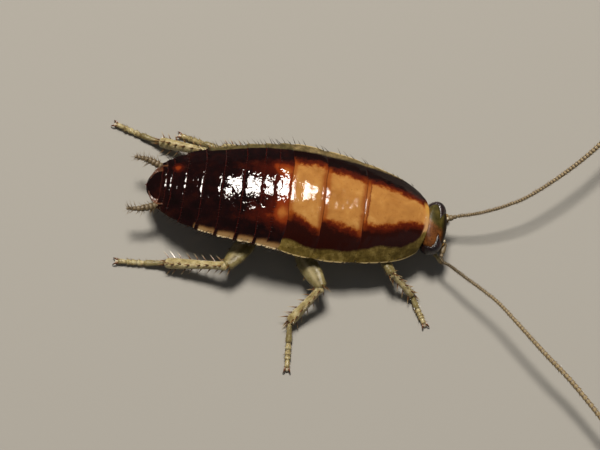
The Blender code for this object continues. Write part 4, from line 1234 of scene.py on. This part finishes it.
for side, label in ((1, "L"), (-1, "R")):
    rng = random.Random(40 + side)
    socket = headPlacing @ Vector((head["socket"][0] + 0.1, head["socket"][1] * side, head["socket"][2]))
    points = [socket, *feelers[label]]
    route = smoothRoute(points, 40 * len(points))
    lengths = lengthsOf(route)
    scapeEnd = lengths[feelers["scapeSteps"][label]]
    parts = []
    for low, high, radius in ((-0.16, scapeEnd, feelers["scapeRadius"]),
                              (scapeEnd - 0.05, scapeEnd + 0.17, feelers["pedicelRadius"])):
        start = pointAt(route, lengths, max(0, low))[0]
        end = pointAt(route, lengths, high)[0]
        axis = (end - start).normalized()
        start = start + axis * min(0, low)
        deep = axis.cross(upward).normalized()
        place = limbPlace(start, end, deep, axis.cross(deep), (2 * radius, 2 * radius),
                          feelers["baseSwell"], feelers["baseSwell"], (0.12, 0.14))
        parts.append(tube("feelerBase", place, 24, 24, looks["feeler"]))
        mark(parts[-1], "bead", lambda p: 0.45)
        mark(parts[-1], "darkBaseAndShade", lambda p: 0.35)
    whipStart = scapeEnd + 0.16
    whip = [p for p, at in zip(route, lengths) if whipStart <= at <= lengths[-1] - feelers["stop"]]
    whipLengths = lengthsOf(whip)
    ends = beadEnds(whipLengths[-1], feelers["firstBead"], feelers["lastBead"])
    place = whipPlace(whip, whipLengths, ends, feelers["radii"], feelers["waist"])
    rows = feelers["rowsPerBead"] * (len(ends) - 1)
    strand = newGrid("whip", rows, feelers["columns"])
    withins = [vert.co.x * (len(ends) - 1) % 1 for vert in strand.data.vertices]
    distances = [vert.co.x for vert in strand.data.vertices]
    shapeGrid(strand, place)
    setMark(strand.data, "bead", withins)
    # painted shade: the right whip darkens strongly towards its root, the left one only a little
    darkBaseAndShade = [smoothStep(0.45, 0.1, d) * (0.95 if side < 0 else 0.2) for d in distances]
    setMark(strand.data, "darkBaseAndShade", darkBaseAndShade)
    closeUp(strand, 0.0001)
    strand.data.materials.append(looks["feeler"])
    parts.append(strand)
    finishPiece(joinPieces("feeler_" + label, parts), "feeler",
                "antenna_base_" + label, "antenna_near_" + label, "antenna_far_" + label)
    hairs = []
    for i, (low, high) in enumerate(zip(ends, ends[1:])):
        for k in range(feelers["hairs"]):
            along = (i + 0.55 + 0.3 * rng.random()) / (len(ends) - 1)
            around = (k + rng.random()) / feelers["hairs"]
            point, normal = outwardAt(place, min(along, 0.99), around)
            axis = pointAt(whip, whipLengths, (low + high) / 2)[1]
            direction = normal * 0.75 + axis * (0.6 + 0.5 * rng.random())
            length = feelers["hairLength"] * (0.7 + 0.6 * rng.random())
            hairs.append((point - normal * hairSunk, direction, axis, length, feelers["hairThick"],
                          (along, around)))
    finishPiece(copyAll("feelerHairs_" + label, hairModel, hairs, looks["hair"]), "feeler")
print("feelers ready")

# Tail feelers
cerci = {
    "ends": (0, 0.1, 0.21, 0.33, 0.45, 0.57, 0.69, 0.8, 0.9, 1.0), "waist": 0.2,
    "radii": ((0, 0.15), (0.3, 0.19), (0.7, 0.13), (1.0, 0.06)), "rowsPerBead": 7, "columns": 20,
    "hairs": 110, "hairThick": 0.011,
    # places along, from just behind the last ring's edge, and across
    "root": (0.2, 0.98), "bend": (-0.7, 1.32), "tip": (-1.45, 1.42),
}
for side, label in ((1, "L"), (-1, "R")):
    rng = random.Random(60 + side)
    x = abdomen["ends"][-1] - 0.1
    height = 0.5 * (bodyAt("back", x) + bodyAt("belly", x))
    root = Vector((x + cerci["root"][0], side * cerci["root"][1], height - 0.02))
    bend, tip = (Vector((x + forth, side * aside, root.z + 0.02))
                 for forth, aside in (cerci["bend"], cerci["tip"]))
    route = smoothRoute((root, bend, tip), 60)
    lengths = lengthsOf(route)
    ends = [share * lengths[-1] for share in cerci["ends"]]
    place = whipPlace(route, lengths, ends, cerci["radii"], cerci["waist"])
    strand = newGrid("cercusStrand", cerci["rowsPerBead"] * (len(ends) - 1), cerci["columns"])
    withins = [0.2 + 0.4 * (vert.co.x * (len(ends) - 1) % 1) for vert in strand.data.vertices]
    shapeGrid(strand, place)
    setMark(strand.data, "bead", withins)
    closeUp(strand)
    mark(strand, "darkBaseAndShade", lambda p: 0.35)
    strand.data.materials.append(looks["feeler"])
    finishPiece(joinPieces("cercusSkin_" + label, [strand]), "feeler", "cercus_" + label)
    hairs = []
    axis = (tip - root).normalized()
    for _ in range(cerci["hairs"]):
        along, around = rng.random() ** 0.9 * 0.97 + 0.02, rng.random()
        point, normal = outwardAt(place, along, around)
        length = 0.16 + 0.3 * rng.random() ** 2
        hairs.append((point - normal * hairSunk, normal + axis * 0.5, axis, length, cerci["hairThick"],
                      (along, around)))
    finishPiece(copyAll("cercusHairs_" + label, hairModel, hairs, looks["hair"]), "feeler")
print("tail feelers ready")

# Legs: joints from the body outwards: coxa root, coxa end, knee, ankle, claws
legs = {
    "fore_R": ((5.0, -0.85), (4.3, -1.5, 0.98), (5.1, -2.85, 1.35), (6.28, -3.5, 0.36), (7.05, -4.85, 0.2)),
    "mid_R": ((1.35, -0.9), (0.15, -1.95, 1.0), (1.68, -4.1, 1.5), (0.33, -5.75, 0.38), (0.48, -8.09, 0.2)),
    "hind_R": ((-0.05, -0.85), (-1.95, -1.4, 0.92), (-3.15, -3.6, 1.4), (-6.3, -3.55, 0.4),
               (-8.7, -3.7, 0.2)),
    "fore_L": ((4.7, 0.55), (3.6, 0.95, 0.95), (4.0, 2.3, 1.25), (5.3, 1.9, 0.36), (6.6, 1.36, 0.2)),
    "mid_L": ((1.35, 0.95), (0.35, 1.75, 0.98), (-1.85, 2.85, 1.38), (-4.3, 3.05, 0.38), (-6.5, 3.55, 0.2)),
    "hind_L": ((-0.05, 0.9), (-2.1, 1.3, 0.92), (-4.35, 2.35, 1.3), (-7.55, 2.95, 0.4), (-9.9, 3.7, 0.2)),
}
legSizes = {  # femur depth and width, tibia depth and width, thorns in one row of the tibia
    "fore": (0.9, 0.5, 0.46, 0.38, 4),
    "mid": (1.04, 0.54, 0.54, 0.42, 6),
    "hind": (1.12, 0.56, 0.58, 0.44, 8),
}
legForm = {
    "coxaRoot": 1.24, "coxa": (1.0, 0.56), "trochanter": (0.5, 0.44),
    "coxaDepths": ((0, 0.9), (0.25, 1), (0.6, 0.94), (1, 0.56)), "coxaWidths": ((0, 1), (0.5, 1), (1, 0.8)),
    "femurDepths": ((0, 0.5), (0.12, 0.68), (0.32, 0.97), (0.52, 1), (0.75, 0.84), (0.92, 0.6), (1, 0.52)),
    "femurWidths": ((0, 0.8), (0.3, 1), (0.6, 0.98), (1, 0.84)),
    "tibiaDepths": ((0, 0.8), (0.06, 0.92), (0.16, 0.72), (0.5, 0.84), (0.88, 1.02), (1, 0.9)),
    "tibiaWidths": ((0, 0.8), (0.08, 0.95), (0.2, 0.8), (0.6, 0.88), (0.92, 1.05), (1, 0.95)),
    "tarsusJoints": (0.0, 0.46, 0.6, 0.72, 0.82, 1.0), "tarsusWidth": 0.32, "tarsusDepth": 0.29,
    "flare": ((0, 0.66), (0.3, 0.74), (0.85, 1.04), (1, 0.9)),
    "lastFlare": ((0, 0.55), (0.7, 0.8), (1, 0.85)),
    "rest": 0.158, "pad": (0.16, 0.2), "padHeight": 0.088, "thornClear": 0.06,
    # along the foot, across it and up, from its tip
    "clawBends": ((-0.04, 0.05, 0.0), (0.14, 0.12, 0.04), (0.26, 0.17, -0.03), (0.3, 0.2, -0.12)),
    "clawRadii": ((0, 0.055), (0.3, 0.05), (0.7, 0.032), (1, 0.012)),
    "hairs": 300, "hairLength": 0.15, "hairThick": 0.0095, "bakeBands": 5,
}


def tarsusHeight(ankle, share):
    return legForm["rest"] + (ankle.z - legForm["rest"]) * max(0, 1 - share / 0.42) ** 1.5


def makeLeg(label):
    pair = label.split("_")[0]
    rng = random.Random(sum(ord(letter) for letter in label))
    femurDeep, femurWide, tibiaDeep, tibiaWide, rowCount = legSizes[pair]
    root = Vector((*legs[label][0], legForm["coxaRoot"]))
    hip, knee, ankle, toe = (Vector(p) for p in legs[label][1:])
    bend = (knee - hip).cross(ankle - knee).normalized()
    parts, thorns, hairs, pads, claws = [], [], [], [], []

    def addJoint(name, place, rows, columns, look="leg", olive=0.0, dark=0.5, ridge=()):
        part = newGrid(name, rows, columns)
        spots = [(v.co.x, v.co.y) for v in part.data.vertices]
        shapeGrid(part, place)
        ends = [dark * (bell(along, 0.1) + bell(1 - along, 0.12)) for along, around in spots]
        lines = [sum(bell(turnsApart(around, spot), 0.03) for spot, height in ridge)
                 * math.sin(math.pi * along) for along, around in spots]
        for title, values in (("joint", ends), ("ridge", lines), ("olive", [olive] * len(spots))):
            setMark(part.data, title, values)
        closeUp(part)
        part.data.materials.append(looks[look])
        parts.append(part)

    def addHairs(place, count, axis, band):
        for _ in range(count):
            along, around = 0.08 + 0.86 * rng.random(), rng.random()
            point, normal = outwardAt(place, along, around)
            direction = normal * 0.7 + axis * (0.6 + 0.4 * rng.random())
            length = legForm["hairLength"] * (0.6 + 0.8 * rng.random())
            if point.z + direction.normalized().z * length < 0.01:
                continue
            hairs.append((point - normal * hairSunk, direction, axis, length, legForm["hairThick"],
                          ((band + along) / legForm["bakeBands"], around)))

    def addThorn(place, along, around, axis, length, radius, lean, band):
        point, normal = outwardAt(place, along, around)
        direction = (normal + axis * lean).normalized()
        lowest = (legForm["thornClear"] - point.z) / length
        if direction.z < lowest:
            direction = (direction - upward * direction.z).normalized() * math.sqrt(max(0, 1 - lowest**2))
            direction.z = lowest
        thorns.append((point - direction * radius * 1.2, direction, axis, length, radius,
                       ((band + along) / legForm["bakeBands"], around)))

    # coxa and trochanter
    axis = (hip - root).normalized()
    across = (upward - axis * upward.dot(axis)).normalized()
    deep = across.cross(axis).normalized()
    place = limbPlace(root - axis * 0.1, hip + axis * 0.1, deep, across, legForm["coxa"],
                      legForm["coxaDepths"], legForm["coxaWidths"], (0.16, 0.12), ((0.5, 0.05), (0.12, 0.04)))
    addJoint("coxa", place, 30, 32, olive=0.25, dark=0.7)
    addHairs(place, legForm["hairs"] // 6, axis, 0)
    femurAxis = (knee - hip).normalized()
    across = (bend - femurAxis * bend.dot(femurAxis)).normalized()
    deep = across.cross(femurAxis).normalized()
    inner = 0.0 if deep.dot(ankle - knee) > 0 else 0.5  # the place around the femur that faces the tibia
    place = limbPlace(hip - femurAxis * 0.16, hip + femurAxis * 0.4, deep, across, legForm["trochanter"],
                      flat, flat, (0.4, 0.35))
    addJoint("trochanter", place, 16, 24, olive=0.3, dark=0.4)

    # femur
    ridges = ((0.25, 0.07), (0.75, 0.07))
    place = limbPlace(hip + femurAxis * 0.1, knee + femurAxis * 0.12, deep, across, (femurDeep, femurWide),
                      legForm["femurDepths"], legForm["femurWidths"], (0.05, 0.07), ridges)
    addJoint("femur", place, 52, 40, olive=0.9, dark=0.25, ridge=ridges)
    addHairs(place, legForm["hairs"] // 3, femurAxis, 1)
    for k in range(6):
        addThorn(place, 0.36 + 0.1 * k, (inner + (0.045 if k % 2 else -0.045)) % 1, femurAxis,
                 0.2 + 0.05 * rng.random(), 0.026, 0.7, 1)
    for away in (0.14, -0.14):
        addThorn(place, 0.9, (inner + 0.5 + away) % 1, femurAxis, 0.46, 0.03, 1.1, 1)
    addThorn(place, 0.88, (inner + 0.08) % 1, femurAxis, 0.34, 0.03, 1.0, 1)

    # tibia
    tibiaAxis = (ankle - knee).normalized()
    across = (bend - tibiaAxis * bend.dot(tibiaAxis)).normalized()
    deep = across.cross(tibiaAxis).normalized()
    ridges = ((0.12, 0.05), (0.38, 0.05), (0.62, 0.05), (0.88, 0.05))
    place = limbPlace(knee - tibiaAxis * 0.05, ankle + tibiaAxis * 0.06, deep, across, (tibiaDeep, tibiaWide),
                      legForm["tibiaDepths"], legForm["tibiaWidths"], (0.06, 0.05), ridges)
    addJoint("tibia", place, 52, 36, olive=0.1, dark=0.5, ridge=ridges)
    addHairs(place, legForm["hairs"] // 3, tibiaAxis, 2)
    for row, spot in enumerate((0.08, 0.36, 0.64, 0.9)):
        for k in range(rowCount):
            along = 0.16 + 0.7 * (k + 0.25 * row) / rowCount + 0.03 * (rng.random() - 0.5)
            length = 0.34 + 0.16 * along + 0.1 * rng.random()
            addThorn(place, along, spot + 0.03 * (rng.random() - 0.5), tibiaAxis, length, 0.036, 0.75, 2)
    for k in range(6):
        addThorn(place, 0.95, (k + 0.3) / 6, tibiaAxis, 0.42 + 0.2 * rng.random(), 0.036, 1.5, 2)

    # tarsus: five joints along the floor, each flaring to its tip, with a pale pad under it
    footRoute = []
    for share in legForm["tarsusJoints"]:
        point = Vector((ankle.x, ankle.y, 0)).lerp(Vector((toe.x, toe.y, 0)), share)
        point.z = tarsusHeight(ankle, share)
        footRoute.append(point)
    footAlong = (footRoute[-1] - footRoute[-2]).normalized()
    for k, (start, end) in enumerate(zip(footRoute, footRoute[1:])):
        axis = (end - start).normalized()
        across = axis.cross(upward).normalized()
        deep = across.cross(axis).normalized()
        first, last = k == 0, k == len(footRoute) - 2
        flare = legForm["lastFlare"] if last else legForm["flare"]
        place = limbPlace(start - axis * 0.05, end + axis * 0.05, deep, across,
                          (legForm["tarsusDepth"], legForm["tarsusWidth"]), flare, flare,
                          (0.12, 0.16) if first else (0.2, 0.24), bow=0.03 if last else 0.0)
        addJoint("tarsusJoint", place, 26 if first else 16, 24, olive=0.8 if first else 0.15, dark=0.9)
        addHairs(place, 70 if first else 26, axis, 3 + k / 5)
        if first:
            for j in range(5):
                for away in (0.06, -0.06):
                    addThorn(place, 0.3 + 0.14 * j, 0.5 + away, axis, 0.09, 0.014, 1.2, 3)
        if not last:
            pad = limbPlace(end - axis * 0.2, end + axis * 0.06, deep, across, legForm["pad"], flat, flat,
                            (0.5, 0.4))
            drop = upward * (end.z - legForm["padHeight"])
            pads.append(tube("pad", lambda along, around: pad(along, around) - drop, 12, 16, looks["pad"]))
    tip = footRoute[-1]
    across = footAlong.cross(upward).normalized()
    between = limbPlace(tip - footAlong * 0.06, tip + footAlong * 0.2 - upward * 0.06, upward, across,
                        legForm["pad"], flat, ((0, 0.6), (0.7, 1), (1, 0.8)), (0.3, 0.5))
    pads.append(tube("pad", between, 14, 16, looks["pad"]))
    for part in pads:
        for title in ("joint", "ridge", "olive"):
            mark(part, title, lambda p: 0.0)
    for side in (1, -1):
        hook = smoothRoute([tip + footAlong * forth + across * side * aside + upward * lift
                            for forth, aside, lift in legForm["clawBends"]], 30)
        hookLengths = lengthsOf(hook)
        hookPlace = whipPlace(hook, hookLengths, [0, hookLengths[-1]], legForm["clawRadii"], 0.0)
        claw = newGrid("claw", 20, 10)
        heights = [v.co.x for v in claw.data.vertices]
        shapeGrid(claw, hookPlace)
        setMark(claw.data, "upHair", heights)
        closeUp(claw)
        claw.data.materials.append(looks["claw"])
        claws.append(claw)
    finishPiece(joinPieces("legSkin_" + label, parts + pads), "leg", "coxa_" + label, "femur_" + label,
                "tibia_" + label, "tarsus_" + label)
    finishPiece(joinPieces("claws_" + label, claws), "leg")
    finishPiece(copyAll("legThorns_" + label, thornModel, thorns, looks["thorn"]), "leg")
    finishPiece(copyAll("legHairs_" + label, hairModel, hairs, looks["hair"]), "leg")


for label in legs:
    makeLeg(label)
print("legs ready")

# Bristles along the margins and short hairs along the hind edges of the rings
coat = {
    "span": (-6.8, 5.6), "spacing": 0.2, "thoraxSpacing": 0.42, "bristle": (0.34, 0.52),
    "bristleThick": 0.019, "short": (0.14, 0.24), "shortThick": 0.012, "shorterFrom": 3.6, "shorter": 0.6,
    "hairyRings": 8, "edgeHairs": 26, "edgeHair": (0.1, 0.2), "edgeThick": 0.009,
}
rng = random.Random(5)


def skinSpot(x, share):
    # the place of a hair's root on the unrolled skin of the back
    return ((x + 8) / 15, (share + 1) / 2)


bristles, shortHairs = [], []
for side in (1, -1):
    x = coat["span"][0]
    while x < coat["span"][1]:
        spacing = coat["spacing"] if x < abdomen["start"] else coat["thoraxSpacing"]
        for kind in ("long", "short"):
            at = x + (rng.random() - 0.5) * spacing
            share = 0.985 if kind == "long" else 0.94 + 0.05 * rng.random()
            root = Vector((at, bodyAt("midline", at) + side * share * bodyAt("halfWidth", at),
                           max(backHeight(at, share), bodyAt("belly", at) + 0.16)))
            direction = Vector((-rng.uniform(0.5, 1.2), side * rng.uniform(0.7, 1.0),
                                rng.uniform(0.25, 0.75)))
            length = rng.uniform(*(coat["bristle"] if kind == "long" else coat["short"]))
            thick = coat["bristleThick"] if kind == "long" else coat["shortThick"]
            bristles.append((root - direction.normalized() * 0.04, direction, Vector((-1, 0, -0.2)),
                             length * (coat["shorter"] if at > coat["shorterFrom"] else 1.0), thick,
                             skinSpot(at, side * share)))
        x += spacing
start = abdomen["start"]
for end in abdomen["ends"][:coat["hairyRings"]]:
    for k in range(coat["edgeHairs"]):
        share = 2 * (k + rng.random()) / coat["edgeHairs"] - 1
        point = placeOnRing(start, end, 0.05 + 0.08 * rng.random(), share)
        low, high = coat["edgeHair"]
        shortHairs.append((point - upward * 0.01, Vector((-1, 0.25 * share, 0.25 + 0.2 * rng.random())),
                           Vector((0, 0, -1)), low + (high - low) * rng.random(), coat["edgeThick"],
                           skinSpot(point.x, share)))
    start = end
finishPiece(copyAll("marginBristles", bristleModel, bristles, looks["bristle"]), "abdomen")
finishPiece(copyAll("ringHairs", hairModel, shortHairs, looks["bristle"]), "abdomen")
for model in (hairModel, thornModel, bristleModel):
    bpy.data.objects.remove(model)
print("bristles ready")
